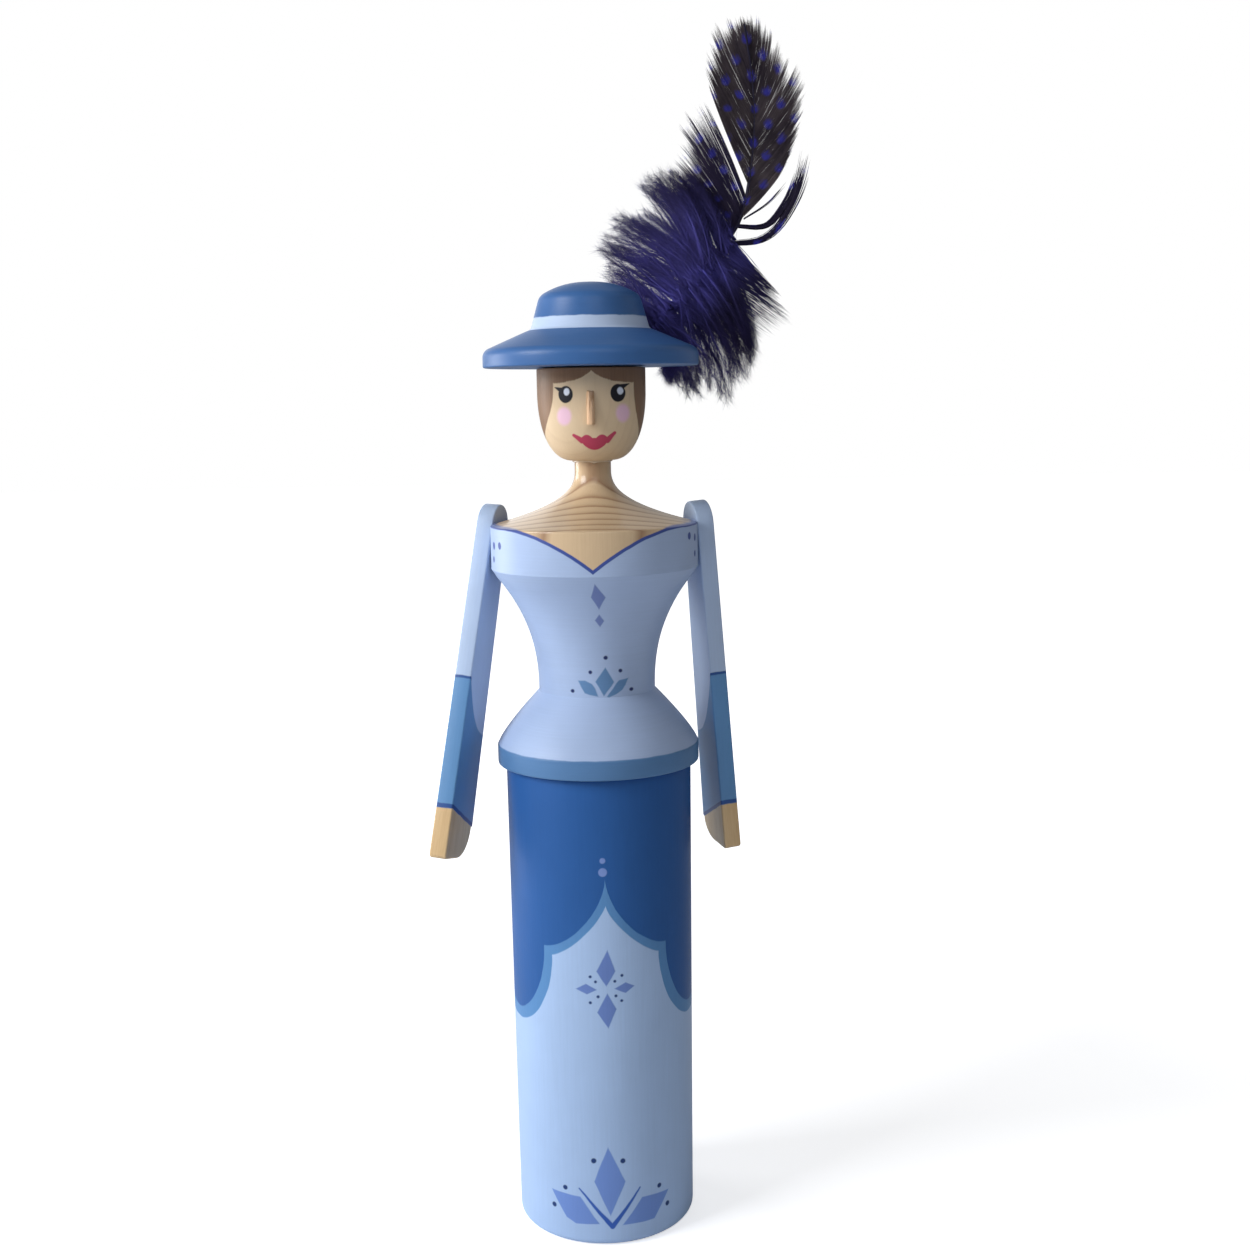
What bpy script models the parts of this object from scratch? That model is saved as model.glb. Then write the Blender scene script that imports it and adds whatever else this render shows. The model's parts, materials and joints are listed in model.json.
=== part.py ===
"""Turned wooden rattle doll with swinging arms, a brimmed hat and one dyed feather.

Metres, +Z up. The origin is the centre of the base on the table, and the doll faces -Y.
"""
import math
from collections import namedtuple

import bmesh
import bpy
from mathutils import Matrix, Vector

# Fits and facets
FIT_GAP = 0.0003
MERGE_DISTANCE = 0.00001
SMOOTH_BELOW = math.radians(35.0)
TURNING_STEPS = 40
DRILL_STEPS = 20
CORNER_STEPS = 4
FLANK_STEPS = 8

# Skirt: a cup bored from above, which is the rattle chamber
SKIRT_HEIGHT = 0.1303
SKIRT_TOP_RADIUS = 0.0254
SKIRT_FOOT_RADIUS = 0.0246
SKIRT_FOOT_ROUND = 0.0022
CHAMBER_RADIUS = 0.0180
CHAMBER_FLOOR = 0.0140

# Loose beads on the chamber floor
BEAD_RADIUS = 0.0045
BEAD_COUNT = 5
BEAD_WALL_GAP = 0.0010
BEAD_STEPS = 12

# Torso: spigot, peplum with its hem, waist, bodice, chest band, shoulders, neck and tenon
SPIGOT_LENGTH = 0.0140
HEM_RADIUS = 0.02765
HEM_HEIGHT = 0.0054
PEPLUM_HEIGHT = 0.0145
PEPLUM_SWELL = 1.2
WAIST_RADIUS = 0.0159
BODICE_HEIGHT = 0.0330
BODICE_FLARE = 2.35
CHEST_RADIUS = 0.0280
CHEST_HEIGHT = 0.0122
SHOULDER_HEIGHT = 0.0142
SHOULDER_SWEEP = 2.4
NECK_RADIUS = 0.0049
NECK_HEIGHT = 0.0025
TENON_RADIUS = 0.0030
TENON_LENGTH = 0.0090

# Head and nose
HEAD_HEIGHT = 0.0245
HEAD_RADIUS = 0.01455
CHIN_RADIUS = 0.0054
CHIN_HEIGHT = 0.0187
CHIN_FULLNESS = 2.2
NOSE_FOOT = 0.0097
NOSE_LENGTH = 0.0093
NOSE_WIDTH = 0.0025
NOSE_BRIDGE_WIDTH = 0.0011
NOSE_DEPTH = 0.0030
NOSE_BRIDGE_DEPTH = 0.0007
NOSE_RIDGE_SHARE = 0.45
NOSE_STEPS = 5

# Hat and the peg that carries it
PEG_RADIUS = 0.0030
PEG_LENGTH = 0.0160
BRIM_RADIUS = 0.0288
BRIM_EDGE_HEIGHT = 0.0051
BRIM_EDGE_ROUND = 0.0016
BRIM_RISE = 0.0048
CROWN_FOOT_RADIUS = 0.0157
CROWN_TOP_RADIUS = 0.0136
CROWN_HEIGHT = 0.0094
CROWN_SHOULDER_ROUND = 0.0014
DOME_HEIGHT = 0.0029
DOME_FULLNESS = 2.4
DOME_STEPS = 3

# Arms: flat bars hung on screws at planed flats of the chest band
ARM_TOE = math.radians(16.6)
ARM_HEM_CLEARANCE = 0.0043
SHOULDER_FLAT_DEPTH = 0.0004
PIVOT_ABOVE_BODICE = 0.0060
ARM_THICKNESS = 0.0048
ARM_SHOULDER_WIDTH = 0.0124
ARM_WRIST_WIDTH = 0.0172
ARM_ABOVE_PIVOT = 0.0112
ARM_BELOW_PIVOT = 0.0866
HAND_LENGTH = 0.0138
HAND_STEP = 0.0009
HAND_FRONT_ROUND = 0.0012
CUFF_DROP = 0.0055
ARM_EDGE_ROUND = 0.0004
ARM_ROUND_ABOVE = math.radians(50.0)
LEFT_SWING = math.radians(14.0)
RIGHT_SWING = math.radians(-1.3)

# Arm screws and washers
SCREW_RADIUS = 0.0016
SCREW_BITE = 0.0140
SCREW_TIP_RADIUS = 0.0005
SCREW_POINT_LENGTH = 0.0032
SCREW_HEAD_RADIUS = 0.0032
SCREW_HEAD_HEIGHT = 0.0013
SCREW_HEAD_EDGE = 0.0005
SCREW_SLOT_WIDTH = 0.0007
SCREW_SLOT_DEPTH = 0.0006
WASHER_RADIUS = 0.0042
WASHER_THICKNESS = 0.0005
COUNTERBORE_DEPTH = 0.0016

# Feather: its shaft leaves a slanting hole at the foot of the crown, behind and to the right
SEAT_ANGLE = math.radians(43.2)
SEAT_FROM_CROWN = 0.0047
SEAT_DEPTH = 0.0070
SHAFT_RADIUS = 0.0008
SHAFT_TIP_RADIUS = 0.00025
SHAFT_SIDES = 8
SHAFT_STEPS = 24
VANE_THICKNESS = 0.0009
WISP_THICKNESS = 0.0012
DOWN_THICKNESS = 0.0090
TUFT_COLUMNS = 6
TUFT_NOTCH = 0.14
WISP_NOTCH = 0.0
TUFT_THIN_END = 0.40
TUFT_THIN_SIDE = 0.50

# Points along the shaft, from the seat: right, back and up, in shares of the feather's height
FEATHER_HEIGHT = 0.0825
SHAFT_SHARES = [
    (0.000, 0.000, 0.000),
    (0.182, 0.036, 0.208),
    (0.325, 0.061, 0.390),
    (0.370, 0.061, 0.642),
    (0.366, 0.048, 0.824),
    (0.339, 0.018, 1.000),
]

# A tuft leaves one side of the shaft between two shares of its length. Its barbs bow towards the shaft's
# tip, from the first one's share of their reach to the last one's, bulge outwards, and end on its tips,
# with every other barb shorter by the notch.
Tuft = namedtuple("Tuft", "side thickness notch roots barbs bow bulge tips")

# Vanes of the blade, with tips from the seat
MIDDLE_VANE = Tuft(-1, VANE_THICKNESS, TUFT_NOTCH, (0.33, 0.46), 9, (0.16, 0.04), 0.0, [
    (0.024, 0.048, 0.451),
    (0.061, 0.051, 0.533),
    (0.127, 0.053, 0.630),
    (0.148, 0.055, 0.733),
    (0.221, 0.056, 0.733),
])
TIP_LEFT = Tuft(-1, VANE_THICKNESS, TUFT_NOTCH, (0.47, 0.97), 11, (0.0, 0.0), 0.02, [
    (0.216, 0.055, 0.794),
    (0.213, 0.046, 0.873),
    (0.236, 0.030, 0.970),
    (0.318, 0.012, 1.016),
])
TIP_RIGHT = Tuft(1, VANE_THICKNESS, TUFT_NOTCH, (0.41, 0.97), 13, (0.0, 0.0), 0.12, [
    (0.427, 0.063, 0.467),
    (0.497, 0.061, 0.624),
    (0.531, 0.052, 0.788),
    (0.482, 0.027, 0.927),
    (0.385, 0.012, 1.028),
])
WISP = Tuft(1, WISP_THICKNESS, WISP_NOTCH, (0.33, 0.39), 4, (-0.19, -0.19), 0.40, [
    (0.548, 0.063, 0.584),
    (0.530, 0.063, 0.556),
])
# Down at the foot: the left tuft has tips from the seat, and the right one hangs over the brim, with
# tips given as the angle round the hat in degrees, the reach past the brim and the drop below it
LEFT_DOWN = Tuft(-1, DOWN_THICKNESS, TUFT_NOTCH, (0.03, 0.32), 9, (0.20, 0.14), 0.0, [
    (-0.121, 0.073, 0.036),
    (-0.194, 0.067, 0.194),
    (-0.189, 0.058, 0.364),
    (-0.103, 0.053, 0.418),
    (0.018, 0.051, 0.439),
])
RIGHT_DOWN = Tuft(1, DOWN_THICKNESS, TUFT_NOTCH, (0.03, 0.31), 13, (0.42, 0.02), 0.06, [
    (54.0, 0.051, 0.024),
    (45.0, 0.073, 0.075),
    (34.0, 0.158, 0.126),
    (28.0, 0.230, 0.085),
    (25.0, 0.315, -0.103),
    (21.0, 0.364, -0.194),
])

# Levels of the stacked pieces, from the table up
HEM_LEVEL = SKIRT_HEIGHT + FIT_GAP
PEPLUM_LEVEL = HEM_LEVEL + HEM_HEIGHT
WAIST_LEVEL = PEPLUM_LEVEL + PEPLUM_HEIGHT
CHEST_LEVEL = WAIST_LEVEL + BODICE_HEIGHT
SHOULDER_LEVEL = CHEST_LEVEL + CHEST_HEIGHT
NECK_LEVEL = SHOULDER_LEVEL + SHOULDER_HEIGHT
HEAD_LEVEL = NECK_LEVEL + NECK_HEIGHT + FIT_GAP
BRIM_LEVEL = HEAD_LEVEL + HEAD_HEIGHT + FIT_GAP
CROWN_LEVEL = BRIM_LEVEL + BRIM_EDGE_HEIGHT + BRIM_RISE
PIVOT_LEVEL = CHEST_LEVEL + PIVOT_ABOVE_BODICE


def paint(name, red, green, blue, roughness, metallic=0.0):
    """A plain finish with a linear base colour."""
    finish = bpy.data.materials.new(name)
    finish.use_nodes = True
    shader = finish.node_tree.nodes["Principled BSDF"]
    shader.inputs["Base Color"].default_value = (red, green, blue, 1.0)
    shader.inputs["Roughness"].default_value = roughness
    shader.inputs["Metallic"].default_value = metallic
    return finish


def add_mesh_object(name, mesh, finish, parent=None):
    """Put a mesh in the scene as a sub-part, or as a hidden cutter when it has no finish."""
    piece = bpy.data.objects.new(name, mesh)
    bpy.context.scene.collection.objects.link(piece)
    piece.parent = parent
    if finish:
        mesh.materials.append(finish)
        mesh.shade_smooth()
        mesh.set_sharp_from_angle(angle=SMOOTH_BELOW)
    else:
        piece.hide_render = True
        piece.display_type = "WIRE"
    return piece


def mesh_from(name, shape):
    """Turn a bmesh into a mesh whose faces all point out."""
    bmesh.ops.recalc_face_normals(shape, faces=shape.faces)
    mesh = bpy.data.meshes.new(name)
    shape.to_mesh(mesh)
    shape.free()
    return mesh


def turned(name, outline, finish):
    """Turn an outline of (radius, height) points about the doll's axis, as on a lathe."""
    shape = bmesh.new()
    points = [shape.verts.new((radius, 0.0, height)) for radius, height in outline]
    for upper, lower in zip(points, points[1:]):
        shape.edges.new((upper, lower))
    mesh = bpy.data.meshes.new(name)
    shape.to_mesh(mesh)
    shape.free()
    piece = add_mesh_object(name, mesh, finish)
    lathe = piece.modifiers.new("lathe", "SCREW")
    lathe.angle = math.tau
    lathe.steps = TURNING_STEPS
    lathe.render_steps = TURNING_STEPS
    lathe.use_merge_vertices = True
    lathe.merge_threshold = MERGE_DISTANCE
    return piece


def rod(name, radius, low, high, finish, parent=None, steps=DRILL_STEPS):
    """A round bar between two heights on its parent's Z axis."""
    shape = bmesh.new()
    middle = Matrix.Translation((0.0, 0.0, (low + high) / 2.0))
    bmesh.ops.create_cone(shape, cap_ends=True, segments=steps, radius1=radius, radius2=radius,
                          depth=high - low, matrix=middle)
    return add_mesh_object(name, mesh_from(name, shape), finish, parent)


def block(name, size, middle, parent):
    """A hidden box cutter of a size about a point in its parent's frame."""
    shape = bmesh.new()
    bmesh.ops.create_cube(shape, size=1.0)
    bmesh.ops.scale(shape, verts=shape.verts, vec=size)
    bmesh.ops.translate(shape, verts=shape.verts, vec=middle)
    return add_mesh_object(name, mesh_from(name, shape), None, parent)


def cut(piece, cutter):
    """Take the cutter's shape out of a piece."""
    saw = piece.modifiers.new("cut_" + cutter.name, "BOOLEAN")
    saw.operation = "DIFFERENCE"
    saw.solver = "EXACT"
    saw.object = cutter


def arc(centre, radius, start_deg, end_deg, steps=CORNER_STEPS):
    """Points on a round corner, as (across, up) pairs."""
    points = []
    for step in range(steps + 1):
        angle = math.radians(start_deg + (end_deg - start_deg) * step / steps)
        points.append((centre[0] + radius * math.cos(angle), centre[1] + radius * math.sin(angle)))
    return points


def swept(low, high, radius_at):
    """Points of a curved flank from the upper height down to the lower one."""
    heights = [high + (low - high) * step / FLANK_STEPS for step in range(FLANK_STEPS + 1)]
    return [(radius_at(height), height) for height in heights]


def build_skirt(finish):
    """The bored cup: chamber floor and wall, rim, outside and rounded foot."""
    foot_round = (SKIRT_FOOT_RADIUS - SKIRT_FOOT_ROUND, SKIRT_FOOT_ROUND)
    outline = [(0.0, CHAMBER_FLOOR), (CHAMBER_RADIUS, CHAMBER_FLOOR)]
    outline += [(CHAMBER_RADIUS, SKIRT_HEIGHT), (SKIRT_TOP_RADIUS, SKIRT_HEIGHT)]
    outline += arc(foot_round, SKIRT_FOOT_ROUND, 0.0, -90.0)
    outline += [(0.0, 0.0)]
    return turned("skirt", outline, finish)


def build_beads(finish):
    """Wooden balls in a ring on the chamber floor, as many as lie there side by side."""
    ring = CHAMBER_RADIUS - BEAD_WALL_GAP - BEAD_RADIUS
    room_each = math.asin(min(1.0, (BEAD_RADIUS + FIT_GAP) / ring))
    count = min(BEAD_COUNT, int(math.pi / room_each))
    for number in range(count):
        angle = math.tau * number / count
        shape = bmesh.new()
        bmesh.ops.create_uvsphere(shape, u_segments=BEAD_STEPS, v_segments=BEAD_STEPS // 2,
                                  radius=BEAD_RADIUS)
        name = "rattle_bead_%d" % (number + 1)
        bead = add_mesh_object(name, mesh_from(name, shape), finish)
        height = CHAMBER_FLOOR + FIT_GAP + BEAD_RADIUS
        bead.location = (ring * math.cos(angle), ring * math.sin(angle), height)


def peplum_radius(height):
    share = (height - PEPLUM_LEVEL) / PEPLUM_HEIGHT
    return HEM_RADIUS + (WAIST_RADIUS - HEM_RADIUS) * max(share, 0.0) ** PEPLUM_SWELL


def bodice_radius(height):
    share = (height - WAIST_LEVEL) / BODICE_HEIGHT
    return WAIST_RADIUS + (CHEST_RADIUS - WAIST_RADIUS) * max(share, 0.0) ** BODICE_FLARE


def shoulder_radius(height):
    share = (NECK_LEVEL - height) / SHOULDER_HEIGHT
    return NECK_RADIUS + (CHEST_RADIUS - NECK_RADIUS) * max(share, 0.0) ** SHOULDER_SWEEP


def build_torso(finish):
    """One turning from the neck tenon down to the spigot in the skirt."""
    spigot_radius = CHAMBER_RADIUS - FIT_GAP
    tenon_top = NECK_LEVEL + NECK_HEIGHT + TENON_LENGTH
    outline = [(0.0, tenon_top), (TENON_RADIUS, tenon_top)]
    outline += [(TENON_RADIUS, NECK_LEVEL + NECK_HEIGHT), (NECK_RADIUS, NECK_LEVEL + NECK_HEIGHT)]
    outline += swept(SHOULDER_LEVEL, NECK_LEVEL, shoulder_radius)
    outline += swept(WAIST_LEVEL, CHEST_LEVEL, bodice_radius)
    outline += swept(PEPLUM_LEVEL, WAIST_LEVEL, peplum_radius)[1:]
    outline += [(HEM_RADIUS, HEM_LEVEL), (spigot_radius, HEM_LEVEL)]
    outline += [(spigot_radius, HEM_LEVEL - SPIGOT_LENGTH), (0.0, HEM_LEVEL - SPIGOT_LENGTH)]
    return turned("torso", outline, finish)


def head_radius(height):
    """Radius of the face at a height above the chin: a full chin, then straight sides."""
    share = 1.0 - min(height / CHIN_HEIGHT, 1.0)
    fullness = (1.0 - share ** CHIN_FULLNESS) ** (1.0 / CHIN_FULLNESS)
    return CHIN_RADIUS + (HEAD_RADIUS - CHIN_RADIUS) * fullness


def build_head(finish):
    """The head, with its socket for the neck tenon below and for the hat peg above."""
    top = HEAD_LEVEL + HEAD_HEIGHT
    socket_radius = TENON_RADIUS + FIT_GAP
    socket_top = NECK_LEVEL + NECK_HEIGHT + TENON_LENGTH + FIT_GAP
    peg_hole = PEG_RADIUS + FIT_GAP
    peg_floor = top + FIT_GAP / 2.0 - PEG_LENGTH / 2.0 - FIT_GAP
    outline = [(0.0, peg_floor), (peg_hole, peg_floor), (peg_hole, top), (HEAD_RADIUS, top)]
    for step in range(FLANK_STEPS + 1):
        height = CHIN_HEIGHT * (1.0 - step / FLANK_STEPS) ** 2
        outline.append((head_radius(height), HEAD_LEVEL + height))
    outline += [(socket_radius, HEAD_LEVEL), (socket_radius, socket_top), (0.0, socket_top)]
    return turned("head", outline, finish)


def build_nose(finish):
    """A whittled sliver whose back follows the face, widest and deepest at its foot."""
    shape = bmesh.new()
    rings = []
    for step in range(NOSE_STEPS + 1):
        share = step / NOSE_STEPS
        height = NOSE_FOOT + NOSE_LENGTH * share
        back = head_radius(height) + FIT_GAP
        half = (NOSE_WIDTH + (NOSE_BRIDGE_WIDTH - NOSE_WIDTH) * share) / 2.0
        depth = NOSE_DEPTH + (NOSE_BRIDGE_DEPTH - NOSE_DEPTH) * share
        ridge = half * NOSE_RIDGE_SHARE
        section = [(-half, -back), (half, -back), (ridge, -back - depth), (-ridge, -back - depth)]
        rings.append([shape.verts.new((x, y, HEAD_LEVEL + height)) for x, y in section])
    for lower, upper in zip(rings, rings[1:]):
        for side in range(4):
            following = (side + 1) % 4
            shape.faces.new((lower[side], lower[following], upper[following], upper[side]))
    shape.faces.new(rings[0])
    shape.faces.new(rings[-1])
    return add_mesh_object("nose", mesh_from("nose", shape), finish)


def hat_outline(grow):
    """The outside of the hat from the top of its dome to its brim, grown all round by a clearance."""
    dome_foot = CROWN_TOP_RADIUS - CROWN_SHOULDER_ROUND
    crown_top = CROWN_LEVEL + CROWN_HEIGHT
    edge_top = BRIM_LEVEL + BRIM_EDGE_HEIGHT
    outline = [(0.0, crown_top + DOME_HEIGHT + grow)]
    for step in range(1, DOME_STEPS + 1):
        share = step / DOME_STEPS
        rise = DOME_HEIGHT * (1.0 - share ** DOME_FULLNESS)
        outline.append((dome_foot * share, crown_top + rise + grow))
    outline.append((CROWN_TOP_RADIUS + grow, crown_top - CROWN_SHOULDER_ROUND))
    outline.append((CROWN_FOOT_RADIUS + grow, CROWN_LEVEL + grow))
    edge_round = (BRIM_RADIUS - BRIM_EDGE_ROUND, edge_top - BRIM_EDGE_ROUND)
    outline += arc(edge_round, BRIM_EDGE_ROUND + grow, 90.0, 0.0)
    outline.append((BRIM_RADIUS + grow, BRIM_LEVEL - grow))
    return outline


def build_hat(finish):
    """Crown and brim in one turning, with a blind hole for the peg below."""
    peg_hole = PEG_RADIUS + FIT_GAP
    peg_ceiling = BRIM_LEVEL - FIT_GAP / 2.0 + PEG_LENGTH / 2.0 + FIT_GAP
    outline = hat_outline(0.0)
    outline += [(peg_hole, BRIM_LEVEL), (peg_hole, peg_ceiling), (0.0, peg_ceiling)]
    return turned("hat", outline, finish)


def build_peg(finish):
    """The dowel between head and hat, half its length in each."""
    middle = BRIM_LEVEL - FIT_GAP / 2.0
    return rod("hat_peg", PEG_RADIUS, middle - PEG_LENGTH / 2.0, middle + PEG_LENGTH / 2.0, finish)


def arm_lean():
    """How far an arm slopes out from its shoulder to clear the hem of the peplum."""
    face = CHEST_RADIUS - SHOULDER_FLAT_DEPTH + FIT_GAP
    return math.atan2(HEM_RADIUS + ARM_HEM_CLEARANCE - face, PIVOT_LEVEL - PEPLUM_LEVEL)


def shoulder_frame(side):
    """A frame on the shoulder flat: Z out along the screw, Y up the arm, X to the back on the right."""
    lean = arm_lean()
    sideways = Vector((side * math.cos(ARM_TOE), math.sin(ARM_TOE), 0.0))
    out = sideways * math.cos(lean) + Vector((0.0, 0.0, math.sin(lean)))
    across = Vector((0.0, 0.0, 1.0)).cross(out).normalized()
    up = out.cross(across)
    place = sideways * (CHEST_RADIUS - SHOULDER_FLAT_DEPTH) + Vector((0.0, 0.0, PIVOT_LEVEL))
    turn = Matrix((across, up, out)).transposed().to_4x4()
    return Matrix.Translation(place) @ turn


def add_empty(name, matrix):
    guide = bpy.data.objects.new(name, None)
    bpy.context.scene.collection.objects.link(guide)
    guide.matrix_world = matrix
    return guide


def arm_outline():
    """The arm seen flat: (towards the front, up from the screw) points, once round."""
    crown = ARM_SHOULDER_WIDTH / 2.0
    wrist = ARM_WRIST_WIDTH / 2.0
    end = -ARM_BELOW_PIVOT
    cuff = end + HAND_LENGTH
    taper = (wrist - crown) / (ARM_BELOW_PIVOT - HAND_LENGTH)
    hand_back = wrist - HAND_STEP
    back_cuff = cuff - CUFF_DROP
    front_end = wrist + taper * HAND_LENGTH
    points = arc((0.0, ARM_ABOVE_PIVOT - crown), crown, 180.0, 0.0, 2 * CORNER_STEPS)
    points.append((wrist, cuff))
    points += arc((front_end - HAND_FRONT_ROUND, end + HAND_FRONT_ROUND), HAND_FRONT_ROUND, 0.0, -90.0, 2)
    for across, up in arc((0.0, 0.0), 1.0, -90.0, -180.0):
        points.append((hand_back * across, back_cuff + (back_cuff - end) * up))
    points.append((-wrist, back_cuff))
    return points


def arm_recess_level():
    """Height of the counterbore's floor above the shoulder flat, where the washer lies."""
    return FIT_GAP + ARM_THICKNESS - COUNTERBORE_DEPTH


def build_arm(name, side, swing, pivot, finish):
    """A flat bar cut to the arm's outline, with eased edges, a bore for its screw and a counterbore."""
    shape = bmesh.new()
    low = FIT_GAP
    facing = -side
    base = [shape.verts.new((facing * front, up, low)) for front, up in arm_outline()]
    sheet = shape.faces.new(base)
    grown = bmesh.ops.extrude_face_region(shape, geom=[sheet])
    raised = [item for item in grown["geom"] if isinstance(item, bmesh.types.BMVert)]
    bmesh.ops.translate(shape, verts=raised, vec=(0.0, 0.0, ARM_THICKNESS))
    arm = add_mesh_object(name, mesh_from(name, shape), finish, pivot)
    arm.rotation_euler = (0.0, 0.0, facing * swing)
    ease = arm.modifiers.new("eased_edges", "BEVEL")
    ease.width = ARM_EDGE_ROUND
    ease.segments = 1
    ease.limit_method = "ANGLE"
    ease.angle_limit = ARM_ROUND_ABOVE
    bore = rod(name + "_bore", SCREW_RADIUS + FIT_GAP, -ARM_THICKNESS, 3.0 * ARM_THICKNESS, None, pivot)
    cut(arm, bore)
    floor = arm_recess_level()
    recess = rod(name + "_recess", WASHER_RADIUS + FIT_GAP, floor, floor + 2.0 * ARM_THICKNESS, None, pivot)
    cut(arm, recess)
    return arm


def build_screw(name, pivot, finish):
    """A low pan-head screw: shank through washer and arm into the shoulder, and a slotted head."""
    face = arm_recess_level() + WASHER_THICKNESS + 2.0 * FIT_GAP
    shape = bmesh.new()
    outline = [(0.0, -SCREW_BITE), (SCREW_TIP_RADIUS, -SCREW_BITE)]
    outline += [(SCREW_RADIUS, SCREW_POINT_LENGTH - SCREW_BITE), (SCREW_RADIUS, face)]
    outline += [(SCREW_HEAD_RADIUS, face)]
    for across, up in arc((0.0, 0.0), 1.0, 0.0, 90.0):
        rise = SCREW_HEAD_EDGE + (SCREW_HEAD_HEIGHT - SCREW_HEAD_EDGE) * up
        outline.append((SCREW_HEAD_RADIUS * across, face + rise))
    points = [shape.verts.new((radius, 0.0, height)) for radius, height in outline]
    edges = [shape.edges.new(pair) for pair in zip(points, points[1:])]
    bmesh.ops.spin(shape, geom=points + edges, cent=(0.0, 0.0, 0.0), axis=(0.0, 0.0, 1.0),
                   angle=math.tau, steps=DRILL_STEPS, use_merge=True)
    bmesh.ops.remove_doubles(shape, verts=shape.verts, dist=MERGE_DISTANCE)
    screw = add_mesh_object(name, mesh_from(name, shape), finish, pivot)
    slot_size = (3.0 * SCREW_HEAD_RADIUS, SCREW_SLOT_WIDTH, 2.0 * SCREW_SLOT_DEPTH)
    cut(screw, block(name + "_slot", slot_size, (0.0, 0.0, face + SCREW_HEAD_HEIGHT), pivot))


def build_washer(name, pivot, finish):
    """A thin ring between the arm and the screw head."""
    low = arm_recess_level() + FIT_GAP
    washer = rod(name, WASHER_RADIUS, low, low + WASHER_THICKNESS, finish, pivot)
    bore = rod(name + "_bore", SCREW_RADIUS + FIT_GAP, 0.0, 2.0 * low, None, pivot)
    cut(washer, bore)
    return washer


def seat_shoulder(torso, name, pivot):
    """Plane the flat that an arm turns against, and drill the screw's hole in it."""
    plane_size = (2.0 * CHEST_RADIUS, 2.0 * (CHEST_HEIGHT + SHOULDER_HEIGHT), 2.0 * CHEST_RADIUS)
    cut(torso, block(name + "_flat", plane_size, (0.0, 0.0, CHEST_RADIUS), pivot))
    hole = rod(name + "_pilot", SCREW_RADIUS + FIT_GAP, -SCREW_BITE - FIT_GAP, FIT_GAP, None, pivot)
    cut(torso, hole)


def curve_point(points, share):
    """A smooth curve through points (Catmull-Rom), from share 0 at the first to 1 at the last."""
    spans = len(points) - 1
    place = min(max(share, 0.0), 1.0) * spans
    first = min(int(place), spans - 1)
    local = place - first
    before = points[first - 1] if first > 0 else points[0] * 2.0 - points[1]
    start, end = points[first], points[first + 1]
    after = points[first + 2] if first + 2 <= spans else end * 2.0 - start
    straight = start * 2.0
    slope = (end - before) * local
    bend = (before * 2.0 - start * 5.0 + end * 4.0 - after) * local ** 2
    twist = (start * 3.0 - before - end * 3.0 + after) * local ** 3
    return (straight + slope + bend + twist) * 0.5


def feather_seat():
    """The mouth of the shaft's hole, on the slope of the brim near the crown."""
    radius = CROWN_FOOT_RADIUS + SEAT_FROM_CROWN
    run = BRIM_RADIUS - BRIM_EDGE_ROUND - CROWN_FOOT_RADIUS
    height = CROWN_LEVEL - BRIM_RISE * SEAT_FROM_CROWN / run
    return Vector((radius * math.cos(SEAT_ANGLE), radius * math.sin(SEAT_ANGLE), height))


def from_seat(points):
    seat = feather_seat()
    return [seat + Vector(point) * FEATHER_HEIGHT for point in points]


def shaft_frame(share):
    """A point of the shaft, its direction, its right-hand side and its radius there."""
    points = from_seat(SHAFT_SHARES)
    nudge = 0.01
    along = curve_point(points, share + nudge) - curve_point(points, share - nudge)
    along.normalize()
    right = Vector((along.z, 0.0, -along.x)).normalized()
    radius = SHAFT_RADIUS + (SHAFT_TIP_RADIUS - SHAFT_RADIUS) * share
    return curve_point(points, share), along, right, radius


def build_shaft(hat, finish):
    """The quill: a tapering tube from its hole in the hat to the feather's tip."""
    root, along, _, radius = shaft_frame(0.0)
    stations = [(root - along * SEAT_DEPTH, radius)]
    for step in range(SHAFT_STEPS + 1):
        point, _, _, thickness = shaft_frame(step / SHAFT_STEPS)
        stations.append((point, thickness))
    shape = bmesh.new()
    rings = []
    for number, (point, thickness) in enumerate(stations):
        ahead = stations[min(number + 1, len(stations) - 1)][0]
        behind = stations[max(number - 1, 0)][0]
        direction = (ahead - behind).normalized()
        flat = direction.cross(Vector((0.0, 1.0, 0.0))).normalized()
        deep = direction.cross(flat)
        ring = []
        for side in range(SHAFT_SIDES):
            angle = math.tau * side / SHAFT_SIDES
            offset = flat * math.cos(angle) + deep * math.sin(angle)
            ring.append(shape.verts.new(point + offset * thickness))
        rings.append(ring)
    for lower, upper in zip(rings, rings[1:]):
        for side in range(SHAFT_SIDES):
            following = (side + 1) % SHAFT_SIDES
            shape.faces.new((lower[side], lower[following], upper[following], upper[side]))
    shape.faces.new(rings[0])
    shape.faces.new(rings[-1])
    add_mesh_object("feather_shaft", mesh_from("feather_shaft", shape), finish)
    hole = rod("feather_hole", radius + FIT_GAP, -SEAT_DEPTH - FIT_GAP, SEAT_DEPTH, None)
    hole.matrix_world = Matrix.Translation(root) @ along.to_track_quat("Z", "Y").to_matrix().to_4x4()
    cut(hat, hole)


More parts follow.
